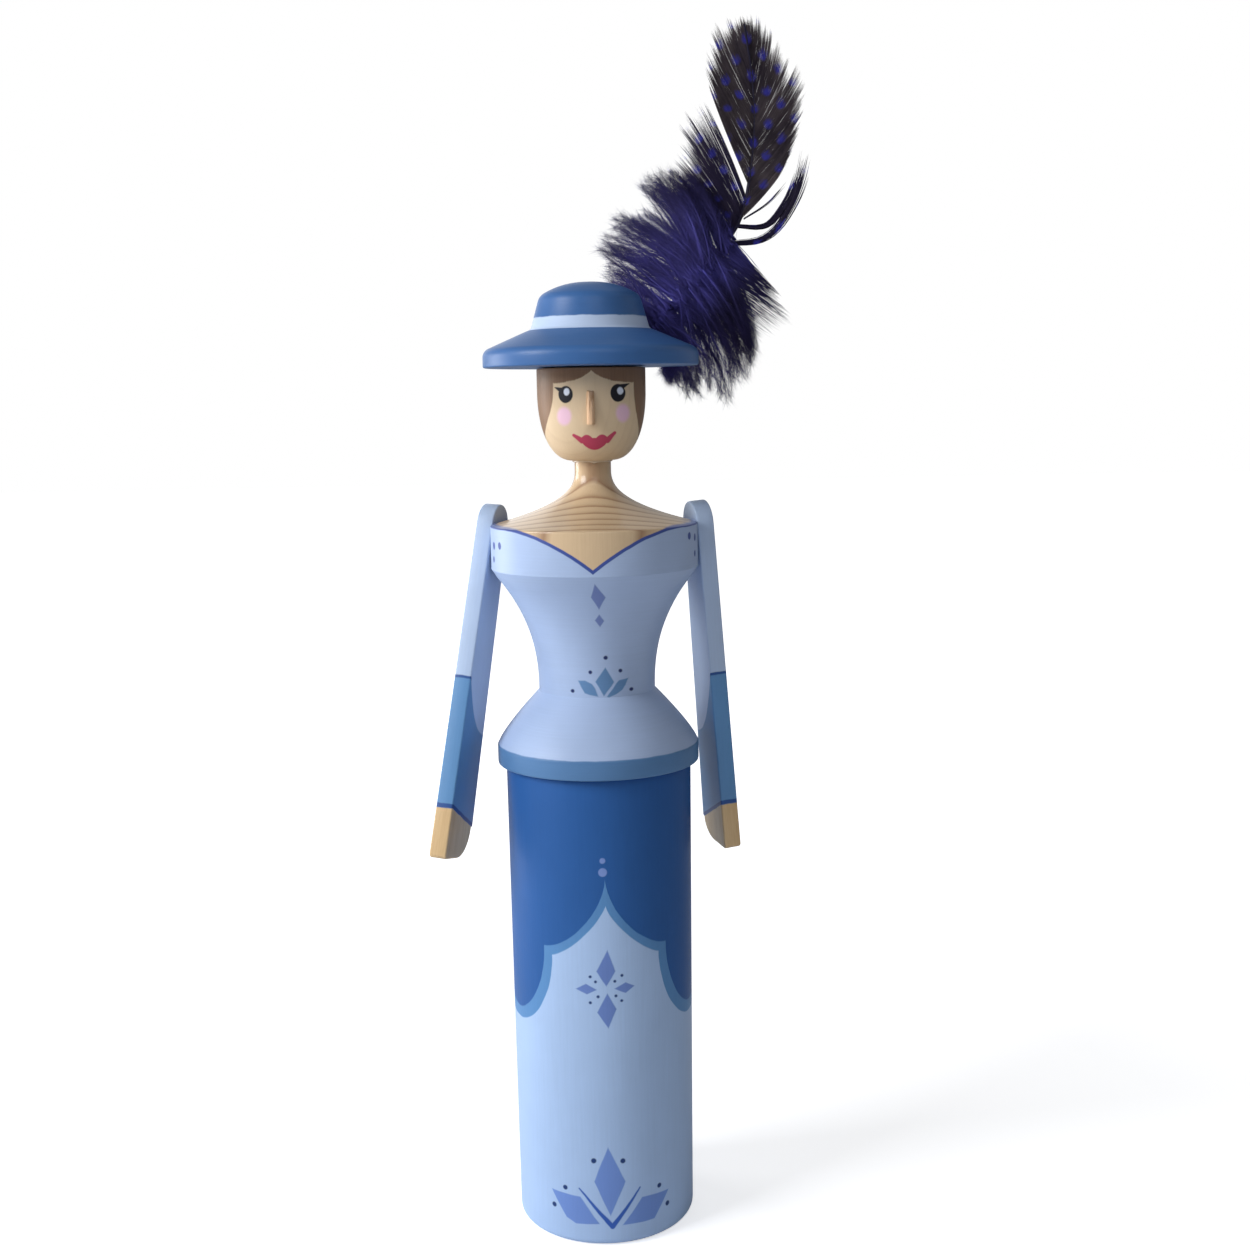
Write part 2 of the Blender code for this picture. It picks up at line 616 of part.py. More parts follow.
def build_tuft(name, tuft, tips, finish):
    """A tuft of barbs as one body, thickest in its middle, with every other barb of its edge cut short."""
    shape = bmesh.new()
    front, back = [], []
    last = tuft.barbs - 1
    for number in range(tuft.barbs):
        share = number / last
        point, along, right, radius = shaft_frame(tuft.roots[0] + (tuft.roots[1] - tuft.roots[0]) * share)
        out = right * tuft.side
        root = point + out * (radius + FIT_GAP)
        tip = curve_point(tips, share)
        if number % 2:
            tip = tip.lerp(root, tuft.notch)
        reach = (tip - root).length
        lift = tuft.bow[0] + (tuft.bow[1] - tuft.bow[0]) * share
        elbow = (root + tip) / 2.0 + along * reach * lift + out * reach * tuft.bulge
        side_body = TUFT_THIN_SIDE + (1.0 - TUFT_THIN_SIDE) * math.sin(math.pi * share)
        near, far = [], []
        for column in range(TUFT_COLUMNS + 1):
            run = column / TUFT_COLUMNS
            middle = root * (1.0 - run) ** 2 + elbow * 2.0 * run * (1.0 - run) + tip * run ** 2
            body = TUFT_THIN_END + (1.0 - TUFT_THIN_END) * math.sin(math.pi * run)
            deep = Vector((0.0, tuft.thickness * body * side_body / 2.0, 0.0))
            near.append(shape.verts.new(middle - deep))
            far.append(shape.verts.new(middle + deep))
        front.append(near)
        back.append(far)
    for number in range(last):
        for column in range(TUFT_COLUMNS):
            for grid in (front, back):
                shape.faces.new((grid[number][column], grid[number][column + 1],
                                 grid[number + 1][column + 1], grid[number + 1][column]))
        for column in (0, TUFT_COLUMNS):
            shape.faces.new((front[number][column], front[number + 1][column],
                             back[number + 1][column], back[number][column]))
    for number in (0, last):
        for column in range(TUFT_COLUMNS):
            shape.faces.new((front[number][column], front[number][column + 1],
                             back[number][column + 1], back[number][column]))
    return add_mesh_object(name, mesh_from(name, shape), finish)


def droop_tips(tips):
    """Ends of the right-hand down, past the edge of the brim and below it."""
    points = []
    for angle_deg, reach, drop in tips:
        angle = math.radians(angle_deg)
        radius = BRIM_RADIUS + reach * FEATHER_HEIGHT
        height = BRIM_LEVEL - drop * FEATHER_HEIGHT
        points.append(Vector((radius * math.cos(angle), radius * math.sin(angle), height)))
    return points


def build_feather(hat):
    """Shaft, four vanes of the blade and two tufts of down that keep clear of the hat."""
    blade = paint("feather_blade", 0.030, 0.028, 0.055, 0.7)
    fluff = paint("feather_fluff", 0.030, 0.030, 0.150, 0.9)
    build_shaft(hat, paint("feather_quill", 0.020, 0.020, 0.060, 0.4))
    vanes = {"middle_vane": MIDDLE_VANE, "tip_left": TIP_LEFT, "tip_right": TIP_RIGHT, "wisp": WISP}
    for name, vane in vanes.items():
        build_tuft("feather_" + name, vane, from_seat(vane.tips), blade)
    left = build_tuft("feather_left_down", LEFT_DOWN, from_seat(LEFT_DOWN.tips), fluff)
    right = build_tuft("feather_right_down", RIGHT_DOWN, droop_tips(RIGHT_DOWN.tips), fluff)
    room = 2.0 * FIT_GAP
    clearance = turned("hat_clearance", hat_outline(room) + [(0.0, BRIM_LEVEL - room)], None)
    cut(left, clearance)
    cut(right, clearance)


def build_doll():
    for item in list(bpy.data.objects):
        bpy.data.objects.remove(item, do_unlink=True)
    build_skirt(paint("skirt_blue", 0.030, 0.100, 0.280, 0.45))
    build_beads(paint("bead_wood", 0.600, 0.420, 0.240, 0.50))
    torso = build_torso(paint("bodice_blue", 0.380, 0.470, 0.690, 0.45))
    build_head(paint("face_wood", 0.600, 0.480, 0.330, 0.50))
    build_nose(paint("nose_wood", 0.550, 0.340, 0.210, 0.60))
    build_peg(paint("peg_wood", 0.600, 0.450, 0.260, 0.60))
    hat = build_hat(paint("hat_blue", 0.055, 0.130, 0.310, 0.40))
    brass = paint("brass", 0.720, 0.500, 0.210, 0.30, 1.0)
    sleeve = paint("sleeve_blue", 0.370, 0.470, 0.700, 0.45)
    for name, side, swing in (("left_arm", -1, LEFT_SWING), ("right_arm", 1, RIGHT_SWING)):
        pivot = add_empty(name + "_pivot", shoulder_frame(side))
        build_arm(name, side, swing, pivot, sleeve)
        build_screw(name + "_screw", pivot, brass)
        build_washer(name + "_washer", pivot, brass)
        seat_shoulder(torso, name, pivot)
    build_feather(hat)


build_doll()
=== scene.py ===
"""Looks of the turned rattle doll: brushed paint on wood, varnished pine and one dyed feather."""
import json
import math
from functools import reduce

import bpy
import numpy as np
from mathutils import Matrix, Vector


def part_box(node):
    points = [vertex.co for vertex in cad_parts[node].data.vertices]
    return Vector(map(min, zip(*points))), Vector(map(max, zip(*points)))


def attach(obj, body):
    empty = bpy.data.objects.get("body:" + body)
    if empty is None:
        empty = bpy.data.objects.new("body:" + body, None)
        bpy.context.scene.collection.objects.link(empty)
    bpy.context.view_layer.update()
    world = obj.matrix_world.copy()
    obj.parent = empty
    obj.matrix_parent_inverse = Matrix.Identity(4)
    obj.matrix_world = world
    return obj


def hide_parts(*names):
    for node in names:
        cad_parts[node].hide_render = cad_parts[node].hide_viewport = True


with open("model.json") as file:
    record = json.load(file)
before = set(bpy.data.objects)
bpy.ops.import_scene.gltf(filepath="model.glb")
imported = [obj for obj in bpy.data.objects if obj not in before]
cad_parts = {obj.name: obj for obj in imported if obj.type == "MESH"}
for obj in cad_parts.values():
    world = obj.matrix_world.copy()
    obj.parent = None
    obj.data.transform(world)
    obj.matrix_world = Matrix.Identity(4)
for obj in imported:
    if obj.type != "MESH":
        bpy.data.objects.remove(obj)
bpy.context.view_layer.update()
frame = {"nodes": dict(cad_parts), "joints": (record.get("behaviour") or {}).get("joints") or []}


# Skirt: a long cup turned from one block of wood and bored from above, so that it holds the beads.
# It is brushed dark blue, with a pale apron and its teal border painted over that, and then the
# lozenges, leaves and dots by hand. The torso's spigot is glued in its mouth.
MM = 0.001
TURN_SIDES = 144
SMOOTH_BELOW = math.radians(32.0)
SKIRT_TOP_RADIUS = 0.0254
SKIRT_FOOT_RADIUS = 0.0246
SKIRT_FOOT_ROUND = 0.0022
SKIRT_RIM_ROUND = 0.0004
CHAMBER_RADIUS = 0.0180
CHAMBER_FLOOR = 0.0140
skirt_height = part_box("skirt")[1].z


def round_corner(centre, radius, start, end, steps=6):
    """Points of a rounded corner: (distance from the axis, height) from one angle to another in degrees."""
    points = []
    for step in range(steps + 1):
        angle = math.radians(start + (end - start) * step / steps)
        points.append((centre[0] + radius * math.cos(angle), centre[1] + radius * math.sin(angle)))
    return points


def face_outwards():
    """Turn every face of the mesh in hand outwards, and leave edit mode."""
    bpy.ops.mesh.select_all(action="SELECT")
    bpy.ops.mesh.normals_make_consistent(inside=False)
    bpy.ops.object.mode_set(mode="OBJECT")


def turn_on_lathe(name, outline):
    """A turned piece: a disc at the outline's first point, drawn out ring by ring to its last."""
    radius, height = outline[0]
    bpy.ops.object.select_all(action="DESELECT")
    bpy.ops.mesh.primitive_circle_add(vertices=TURN_SIDES, radius=radius, fill_type="NGON",
                                      location=(0.0, 0.0, height))
    piece = bpy.context.object
    piece.name = name
    bpy.ops.object.mode_set(mode="EDIT")
    for next_radius, next_height in outline[1:]:
        bpy.ops.mesh.extrude_region_move(
            TRANSFORM_OT_translate={"value": (0.0, 0.0, next_height - height)})
        widen = next_radius / radius
        bpy.ops.transform.resize(value=(widen, widen, 1.0), center_override=(0.0, 0.0, next_height))
        radius, height = next_radius, next_height
    face_outwards()
    bpy.ops.object.transform_apply(location=True, rotation=True, scale=True)
    bpy.ops.object.shade_smooth_by_angle(angle=SMOOTH_BELOW)
    return piece


def coat_with(piece, finish):
    """Give a piece one finish all over."""
    piece.data.materials.clear()
    piece.data.materials.append(finish.material)


def stands_for(piece, node, body, finish):
    """Give a modelled piece its finish, and put it in the place of the CAD node that it shows."""
    coat_with(piece, finish)
    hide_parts(node)
    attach(piece, body)


BRUSH_EDGE = 0.3


class Tone:
    """A value or colour that changes over a surface. Sums add Math nodes, and node() adds any other node."""

    def __init__(self, tree, socket=None):
        self.tree = tree
        self.socket = socket

    def node(self, kind, settings, sockets, output=0):
        made = self.tree.nodes.new("ShaderNode" + kind)
        for name, value in settings.items():
            setattr(made, name, value)
        for name, value in sockets.items():
            if isinstance(value, Tone):
                self.tree.links.new(value.socket, made.inputs[name])
            else:
                made.inputs[name].default_value = value
        return Tone(self.tree, made.outputs[output])

    def math(self, operation, *values):
        return self.node("Math", {"operation": operation}, dict(enumerate(values)))

    def __add__(self, other):
        return self.math("ADD", self, other)

    def __radd__(self, other):
        return self.math("ADD", other, self)

    def __sub__(self, other):
        return self.math("SUBTRACT", self, other)

    def __rsub__(self, other):
        return self.math("SUBTRACT", other, self)

    def __mul__(self, other):
        return self.math("MULTIPLY", self, other)

    def __rmul__(self, other):
        return self.math("MULTIPLY", other, self)

    def __truediv__(self, other):
        return self.math("DIVIDE", self, other)

    def __pow__(self, other):
        return self.math("POWER", self, other)

    def __abs__(self):
        return self.math("ABSOLUTE", self)

    def least(self, other):
        return self.math("MINIMUM", self, other)

    def most(self, other):
        return self.math("MAXIMUM", self, other)

    def root(self):
        return self.math("SQRT", self)

    def fraction(self):
        """What the value has past the last whole number."""
        return self.math("FRACT", self)

    def held(self):
        """The value kept between 0 and 1."""
        return self.node("Clamp", {}, {"Value": self})

    def ramp(self, start, run):
        """0 up to a start, and 1 from a run past it on."""
        return ((self - start) / run).held()

    def inside(self, soft=BRUSH_EDGE):
        """1 where a signed distance is below 0 and 0 above it, with a soft step in between."""
        return (0.5 - self / soft).held()

    def parts(self):
        split = self.node("SeparateXYZ", {}, {0: self}).socket.node
        return [Tone(self.tree, output) for output in split.outputs]

    def shaded(self, factor):
        """A colour made lighter or darker by a factor."""
        return self.node("VectorMath", {"operation": "SCALE"}, {0: self, "Scale": factor})

    def under(self, colour, share):
        """A colour with another one laid over it where share is 1."""
        return self.node("Mix", {"data_type": "RGBA"}, {0: share, 6: self, 7: colour}, 2)


def paint(red, green, blue):
    """A paint as a screen shows it, from 0 to 255, as the linear colour that a shader takes."""
    linear = []
    for level in (red, green, blue):
        share = level / 255.0
        linear.append(share / 12.92 if share <= 0.04045 else ((share + 0.055) / 1.055) ** 2.4)
    return (*linear, 1.0)


class Finish:
    """One material with its place on the piece in millimetres, ready to be painted."""

    def __init__(self, name, constants):
        self.material = bpy.data.materials.new(name)
        self.material.use_nodes = True
        tree = self.material.node_tree
        self.shader = tree.nodes["Principled BSDF"]
        for socket, value in constants.items():
            self.shader.inputs[socket].default_value = value
        metres = Tone(tree).node("TexCoord", {}, {}, "Object")
        self.place = metres.shaded(1.0 / MM)
        self.x, self.y, self.z = self.place.parts()
        self.around = self.x.math("ARCTAN2", self.x, 0.0 - self.y)

    def vector(self, x, y, z):
        return self.x.node("CombineXYZ", {}, {0: x, 1: y, 2: z})

    def noise(self, scale, detail=2.0, roughness=0.5, at=None):
        """Cloudy noise around 0, about -0.5 to 0.5, with so many clouds to a millimetre."""
        sockets = {"Vector": at or self.place, "Scale": scale, "Detail": detail, "Roughness": roughness}
        return self.x.node("TexNoise", {}, sockets) - 0.5

    def streaks(self, x, y, z=0.0, detail=3.0, roughness=0.6):
        """Noise drawn out into streaks: each way is squeezed to so many of them to a millimetre."""
        return self.noise(1.0, detail, roughness, self.vector(x, y, z))

    def unsteady(self, straight, waves, wander, at=None):
        """A line's place as an unsteady hand draws it: waves to a millimetre, and how far they carry it."""
        return straight + self.noise(waves, at=at) * wander

    def known(self, label):
        """A value that the mesh itself knows at each of its points."""
        return self.x.node("Attribute", {"attribute_name": label}, {}, "Fac")

    def flat(self, colour):
        """One colour all over, as the ground that others are laid on."""
        return self.x.node("Mix", {"data_type": "RGBA"}, {0: 0.0, 6: colour, 7: colour}, 2)

    def drawn(self, colour, roughness, height=None, varnish=None):
        """Lead the colour, the roughness, the height in millimetres and the coat of varnish to the shader."""
        changing = {"Base Color": colour, "Roughness": roughness, "Coat Weight": varnish}
        if height:
            changing["Normal"] = self.x.node("Bump", {}, {"Height": height, "Strength": 1.0, "Distance": MM})
        for socket, tone in changing.items():
            if tone:
                self.material.node_tree.links.new(tone.socket, self.shader.inputs[socket])
        return self


def nearest_of(distances):
    return reduce(Tone.least, distances)


def dots(u, v, spots):
    """Distance to the nearest of some round dots: (across, up, radius) in millimetres."""
    return nearest_of([((u - across) ** 2.0 + (v - up) ** 2.0).root() - radius
                       for across, up, radius in spots])


def leaf(u, v, corners):
    """Distance to a leaf with straight sides, whose corners are listed once round, either way."""
    sides = list(zip(corners, corners[1:] + corners[:1]))
    area = sum(a[0] * b[1] - b[0] * a[1] for a, b in sides)
    turn = 1.0 if area > 0.0 else -1.0
    distances = []
    for (u1, v1), (u2, v2) in sides:
        length = math.hypot(u2 - u1, v2 - v1)
        out_u, out_v = turn * (v2 - v1) / length, turn * (u1 - u2) / length
        distances.append(u * out_u + v * out_v - (u1 * out_u + v1 * out_v))
    return reduce(Tone.most, distances)


def leaves(u, v, shapes):
    return nearest_of([leaf(u, v, corners) for corners in shapes])


def stroke(u, v, start, end, widths):
    """Distance to a straight brush stroke whose width runs from one value to another."""
    run_u, run_v = end[0] - start[0], end[1] - start[1]
    length = run_u ** 2 + run_v ** 2
    share = (((u - start[0]) * run_u + (v - start[1]) * run_v) / length).held()
    away_u = u - start[0] - share * run_u
    away_v = v - start[1] - share * run_v
    half = widths[0] / 2.0 + share * ((widths[1] - widths[0]) / 2.0)
    return (away_u ** 2.0 + away_v ** 2.0).root() - half


def strokes(u, v, lines):
    return nearest_of([stroke(u, v, *line) for line in lines])


skirt_outline = round_corner((SKIRT_FOOT_RADIUS - SKIRT_FOOT_ROUND, SKIRT_FOOT_ROUND), SKIRT_FOOT_ROUND,
                             -90.0, 0.0)
skirt_outline += round_corner((SKIRT_TOP_RADIUS - SKIRT_RIM_ROUND, skirt_height - SKIRT_RIM_ROUND),
                              SKIRT_RIM_ROUND, 0.0, 90.0, 3)
skirt_outline += [(CHAMBER_RADIUS, skirt_height), (CHAMBER_RADIUS, CHAMBER_FLOOR)]
skirt = turn_on_lathe("skirt_turned", skirt_outline)

# The pattern is laid out on the flattened flank: millimetres round it from the front, and up it.
SKIRT_ARC = 24.7
APRON_MIDDLE = 1.4
HALF_WAY_ROUND = math.pi * SKIRT_ARC
# Each edge of the border: top, the width and drop of its upper and its lower scallop, how round the upper is
BORDER_OUTER = (104.0, 17.5, 19.8, 13.0, 20.5, 1.70)
BORDER_INNER = (96.5, 15.0, 14.5, 14.5, 21.3, 1.35)
BORDER_EDGE = 0.35
APRON_LOZENGES = [
    [(1.8, 84.2), (-1.3, 78.4), (1.2, 74.1), (3.7, 78.3)],
    [(1.5, 72.1), (-1.3, 67.0), (1.6, 62.5), (3.9, 67.7)],
    [(-6.9, 73.3), (-3.9, 71.9), (-1.2, 73.2), (-4.1, 74.9)],
    [(3.4, 73.4), (6.4, 72.1), (8.9, 73.8), (6.4, 75.1)],
]
APRON_DOTS = [(-2.9, 76.9, 0.4), (-1.5, 75.5, 0.4), (-0.9, 71.3, 0.4), (-3.0, 69.7, 0.4),
              (5.4, 77.0, 0.4), (3.5, 75.5, 0.4), (3.8, 71.4, 0.4), (5.3, 70.0, 0.4)]
APEX_DOTS = [(0.9, 108.7, 0.75), (0.9, 105.6, 1.15)]
FOOT_LEAVES = [
    [(0.8, 28.7), (-3.0, 18.8), (1.2, 8.9), (5.5, 18.5)],
    [(-15.8, 14.6), (-7.1, 14.1), (-1.8, 6.6), (-8.5, 6.1), (-11.3, 7.5)],
    [(19.1, 12.8), (10.2, 13.1), (4.6, 5.9), (13.9, 5.9)],
]
FOOT_STROKES = [((-7.3, 16.5), (1.8, 5.7), (0.4, 1.4)), ((9.6, 16.1), (1.8, 5.7), (0.4, 1.4))]
FOOT_DOTS = [(-3.0, 24.8, 0.72), (4.8, 24.5, 0.72), (-11.4, 16.1, 0.7), (-15.1, 10.2, 0.7),
             (15.8, 15.0, 0.7), (18.6, 8.8, 0.7)]
DARK_BLUE = paint(46, 92, 156)
BORDER_TEAL = paint(90, 138, 190)
PALE_BLUE = paint(167, 193, 230)
LILAC_BLUE = paint(106, 132, 194)
FOOT_LILAC = paint(112, 143, 208)
STROKE_BLUE = paint(57, 94, 178)
DOT_BLUE = paint(42, 64, 116)
APEX_LILAC = paint(122, 146, 204)
SATIN = {"Specular IOR Level": 0.12}
PAINT_THICKNESS = 0.025
# Brushed paint: clouds and specks to a millimetre, then what streaks, clouds and specks do to it
BRUSH_CLOUDS = 0.07
BRUSH_SPECKS = 5.0
BRUSH_SHADES = (0.10, 0.10, 0.04)
BRUSH_SHEEN = 0.40
BRUSH_SHEENS = (0.12, 0.14)
BRUSH_RIDGES = (0.030, 0.010)
# Streaks to a millimetre across the brush and along it, then the waves of the hand and their reach
SKIRT_BRUSH = (1.5, 0.05)
SKIRT_WAVES = (0.16, 0.5)
SKIRT_SHAKE = (1.1, 0.10)
SKIRT_RISE_WAVES = (0.13, 0.5)


def border_edge(aside, edge):
    """Height of one edge of the apron's border, so far aside from its middle."""
    top, upper_width, upper_drop, lower_width, lower_drop, roundness = edge
    upper = ((upper_width - aside) / upper_width).held()
    lower = ((upper_width + lower_width - aside) / lower_width).held()
    upper_fall = (1.0 - upper ** roundness).held() ** (1.0 / roundness) * upper_drop
    return top - upper_fall - (1.0 - lower ** 2.0).root() * lower_drop


def brushed(finish, run, along, grain):
    """Brush marks over faint wood grain: the paint's shade, its sheen and its height in millimetres."""
    marks = finish.streaks(run * grain[0], along * grain[1])
    clouds = finish.noise(BRUSH_CLOUDS)
    specks = finish.noise(BRUSH_SPECKS, roughness=0.6)
    shade = 1.0 + marks * BRUSH_SHADES[0] + clouds * BRUSH_SHADES[1] + specks * BRUSH_SHADES[2]
    sheen = BRUSH_SHEEN + clouds * BRUSH_SHEENS[0] + specks * BRUSH_SHEENS[1]
    height = marks * BRUSH_RIDGES[0] + specks * BRUSH_RIDGES[1]
    return shade, sheen, height


def skirt_finish():
    finish = Finish("skirt_brushed_paint", SATIN)
    arc = finish.around * SKIRT_ARC
    shade, sheen, height = brushed(finish, arc, finish.z, SKIRT_BRUSH)
    u = finish.unsteady(finish.unsteady(arc, *SKIRT_WAVES), *SKIRT_SHAKE)
    v = finish.unsteady(finish.z, *SKIRT_RISE_WAVES, finish.vector(finish.y, finish.z, finish.x))
    aside = abs(u - APRON_MIDDLE)
    lobe = BORDER_OUTER[1] + BORDER_OUTER[3]
    aside = aside.least((HALF_WAY_ROUND - aside) * (lobe / (HALF_WAY_ROUND - lobe)))
    border = (v - border_edge(aside, BORDER_OUTER)).inside(BORDER_EDGE)
    apron = (v - border_edge(aside, BORDER_INNER)).inside(BORDER_EDGE)
    lozenges = leaves(u, v, APRON_LOZENGES).inside()
    foot_leaves = leaves(u, v, FOOT_LEAVES).inside()
    foot_strokes = strokes(u, v, FOOT_STROKES).inside()
    dark = dots(u, v, APRON_DOTS + FOOT_DOTS).inside()
    apex = dots(u, v, APEX_DOTS).inside()
    colour = finish.flat(DARK_BLUE).under(BORDER_TEAL, border).under(PALE_BLUE, apron)
    colour = colour.under(LILAC_BLUE, lozenges).under(FOOT_LILAC, foot_leaves)
    colour = colour.under(STROKE_BLUE, foot_strokes).under(DOT_BLUE, dark).under(APEX_LILAC, apex)
    thick = (border + apron + lozenges + foot_leaves + foot_strokes + dark + apex) * PAINT_THICKNESS
    return finish.drawn(colour.shaded(shade), sheen, height + thick)


stands_for(skirt, "skirt", "figure", skirt_finish())


# Rattle beads: five turned balls of plain wood, loose in the bored skirt.
# They are oiled, and show the end grain as faint rings. A piece's grain says where its pith stood, in
# millimetres, how far apart its rings are and how dark they show; each bead has a pith of its own.
BEADS = 5
BEAD_GRAIN = (2.6, 0.5)
PINE = paint(219, 191, 150)
PINE_LATE = paint(172, 136, 96)
OILED = {"Specular IOR Level": 0.35}
# Pine: waves to a millimetre and their reach in the trunk and in a ring, how late in the year a ring
# darkens and how fast it pales again, and fibres to a millimetre across the trunk and along it
TRUNK_WAVES = (0.05, 2.0)
RING_WAVES = 0.10
RING_REACH = 0.8
RING_LATENESS = 5.0
RING_FADE = 7.0
FIBRES_ACROSS = 3.0
FIBRES_ALONG = 0.08
FIBRE_SHARE = 0.28
LATE_SHARE = 0.08


def pine_colour(finish, pith, spacing, contrast, light=PINE, dark=PINE_LATE, phase=0.0):
    """Sawn pine: growth rings round a pith line that stands upright at (x, y), with fine vertical fibres."""
    bent_x = finish.unsteady(finish.x, *TRUNK_WAVES, finish.vector(0.0, 0.0, finish.z))
    away = ((bent_x - pith[0]) ** 2.0 + (finish.y - pith[1]) ** 2.0).root()
    year = ((away + finish.noise(RING_WAVES, 3.0) * RING_REACH) / spacing + phase).fraction()
    late = (year ** RING_LATENESS).most((1.0 - year * RING_FADE).held())
    fibres = finish.streaks(finish.x * FIBRES_ACROSS, finish.y * FIBRES_ACROSS, finish.z * FIBRES_ALONG,
                            roughness=0.65)
    share = (late * contrast + fibres * FIBRE_SHARE + LATE_SHARE).held()
    return finish.flat(light).under(dark, share), late, fibres


for number in range(1, BEADS + 1):
    bead_wood = Finish(f"bead_{number}_plain_wood", OILED)
    colour, late, fibres = pine_colour(bead_wood, (number * 9.0 - 40.0, 30.0), *BEAD_GRAIN)
    bead_wood.drawn(colour, 0.55 + fibres * 0.2, fibres * 0.03 + late * 0.01)
    coat_with(frame["nodes"][f"rattle_bead_{number}"], bead_wood)


# Torso: one turning with the spigot that closes the skirt, the peplum and its hem, the waist, the bodice,
# the chest band, the sloping shoulders, the neck and the tenon for the head. Two flats are planed for the
# arms. It is painted pale blue up to a drawn neckline, and the pine above that is only varnished.
SPIGOT_RADIUS = 0.0177
HEM_RADIUS = 0.02765
HEM_HEIGHT = 0.0054
HEM_ROUND = 0.0005
PEPLUM_HEIGHT = 0.0145
PEPLUM_SWELL = 1.2
WAIST_RADIUS = 0.0159
BODICE_HEIGHT = 0.0330
BODICE_FLARE = 2.35
CHEST_RADIUS = 0.0280
CHEST_HEIGHT = 0.0122
CHEST_ROUND = 0.0005
SHOULDER_HEIGHT = 0.0142
SHOULDER_SWEEP = 2.4
NECK_RADIUS = 0.0049
NECK_HEIGHT = 0.0025
TENON_RADIUS = 0.0030
FIT_GAP = 0.0003
FLANK_STEPS = 18
SCREW_HOLE_RADIUS = 0.0019
SCREW_HOLE_DEPTH = 0.0143
DRILL_SIDES = 40
spigot_foot, tenon_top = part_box("torso")[0].z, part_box("torso")[1].z
hem_level = skirt_height + FIT_GAP
peplum_level = hem_level + HEM_HEIGHT
waist_level = peplum_level + PEPLUM_HEIGHT
chest_level = waist_level + BODICE_HEIGHT
shoulder_level = chest_level + CHEST_HEIGHT
neck_level = shoulder_level + SHOULDER_HEIGHT
neck_top = neck_level + NECK_HEIGHT


def flank(low, high, foot, top, bend):
    """A swept flank from a foot radius to a top radius; bend says how its share of the way curves."""
    points = []
    for step in range(1, FLANK_STEPS):
        share = step / FLANK_STEPS
        points.append((foot + (top - foot) * bend(share), low + (high - low) * share))
    return points


torso_outline = [(SPIGOT_RADIUS, spigot_foot), (SPIGOT_RADIUS, hem_level)]
torso_outline += round_corner((HEM_RADIUS - HEM_ROUND, hem_level + HEM_ROUND), HEM_ROUND, -90.0, 0.0, 3)
torso_outline += round_corner((HEM_RADIUS - HEM_ROUND, peplum_level - HEM_ROUND), HEM_ROUND, 0.0, 50.0, 3)
torso_outline += flank(peplum_level, waist_level, HEM_RADIUS - HEM_ROUND / 2.0, WAIST_RADIUS,
                       lambda share: share ** PEPLUM_SWELL)
torso_outline += [(WAIST_RADIUS, waist_level)]
torso_outline += flank(waist_level, chest_level, WAIST_RADIUS, CHEST_RADIUS,
                       lambda share: share ** BODICE_FLARE)
torso_outline += [(CHEST_RADIUS, chest_level + CHEST_ROUND)]
torso_outline += round_corner((CHEST_RADIUS - CHEST_ROUND, shoulder_level - CHEST_ROUND), CHEST_ROUND,
                              0.0, 80.0, 4)
torso_outline += flank(shoulder_level, neck_level, CHEST_RADIUS - CHEST_ROUND, NECK_RADIUS,
                       lambda share: 1.0 - (1.0 - share) ** SHOULDER_SWEEP)
torso_outline += [(NECK_RADIUS, neck_level), (NECK_RADIUS, neck_top)]
torso_outline += [(TENON_RADIUS, neck_top), (TENON_RADIUS, tenon_top)]
torso = turn_on_lathe("torso_turned", torso_outline)


def shoulder_axes(side):
    """The shoulder's place and its directions back or forth, up the arm and out along the screw."""
    name = "left_shoulder" if side < 0 else "right_shoulder"
    joint = next(item for item in frame["joints"] if item["name"] == name)
    place = Vector(joint["pos_m"])
    out = Vector(joint["axis"])
    if out.x * side < 0.0:
        out = -out
    across = Vector((0.0, 0.0, 1.0)).cross(out).normalized()
    return place, across, out.cross(across), out


def pick(piece):
    """Select one piece alone and make it the active one."""
    bpy.ops.object.select_all(action="DESELECT")
    piece.select_set(True)
    bpy.context.view_layer.objects.active = piece


def smooth(piece):
    pick(piece)
    bpy.ops.object.shade_smooth_by_angle(angle=SMOOTH_BELOW)


def cut_off(place, facing):
    """Cut off, from the mesh in hand, what lies past a plane, and close the cut."""
    bpy.ops.mesh.select_all(action="SELECT")
    bpy.ops.mesh.bisect(plane_co=place, plane_no=facing, use_fill=True, clear_outer=True)


def drill(piece, start, direction, radius, depth):
    """Bore a round hole from a point, along a direction."""
    bpy.ops.object.select_all(action="DESELECT")
    bpy.ops.mesh.primitive_cylinder_add(vertices=DRILL_SIDES, radius=radius, depth=depth)
    bit = bpy.context.object
    turn = direction.to_track_quat("Z", "Y").to_matrix().to_4x4()
    bit.matrix_world = Matrix.Translation(start + direction * depth / 2.0) @ turn
    pick(piece)
    bore = piece.modifiers.new("bore", "BOOLEAN")
    bore.operation = "DIFFERENCE"
    bore.object = bit
    bpy.ops.object.modifier_apply(modifier="bore")
    bpy.data.objects.remove(bit, do_unlink=True)


for side in (-1, 1):
    place, across, up, out = shoulder_axes(side)
    pick(torso)
    bpy.ops.object.mode_set(mode="EDIT")
    cut_off(place, out)
    bpy.ops.object.mode_set(mode="OBJECT")
    drill(torso, place + out * FIT_GAP, -out, SCREW_HOLE_RADIUS, SCREW_HOLE_DEPTH + FIT_GAP)
smooth(torso)

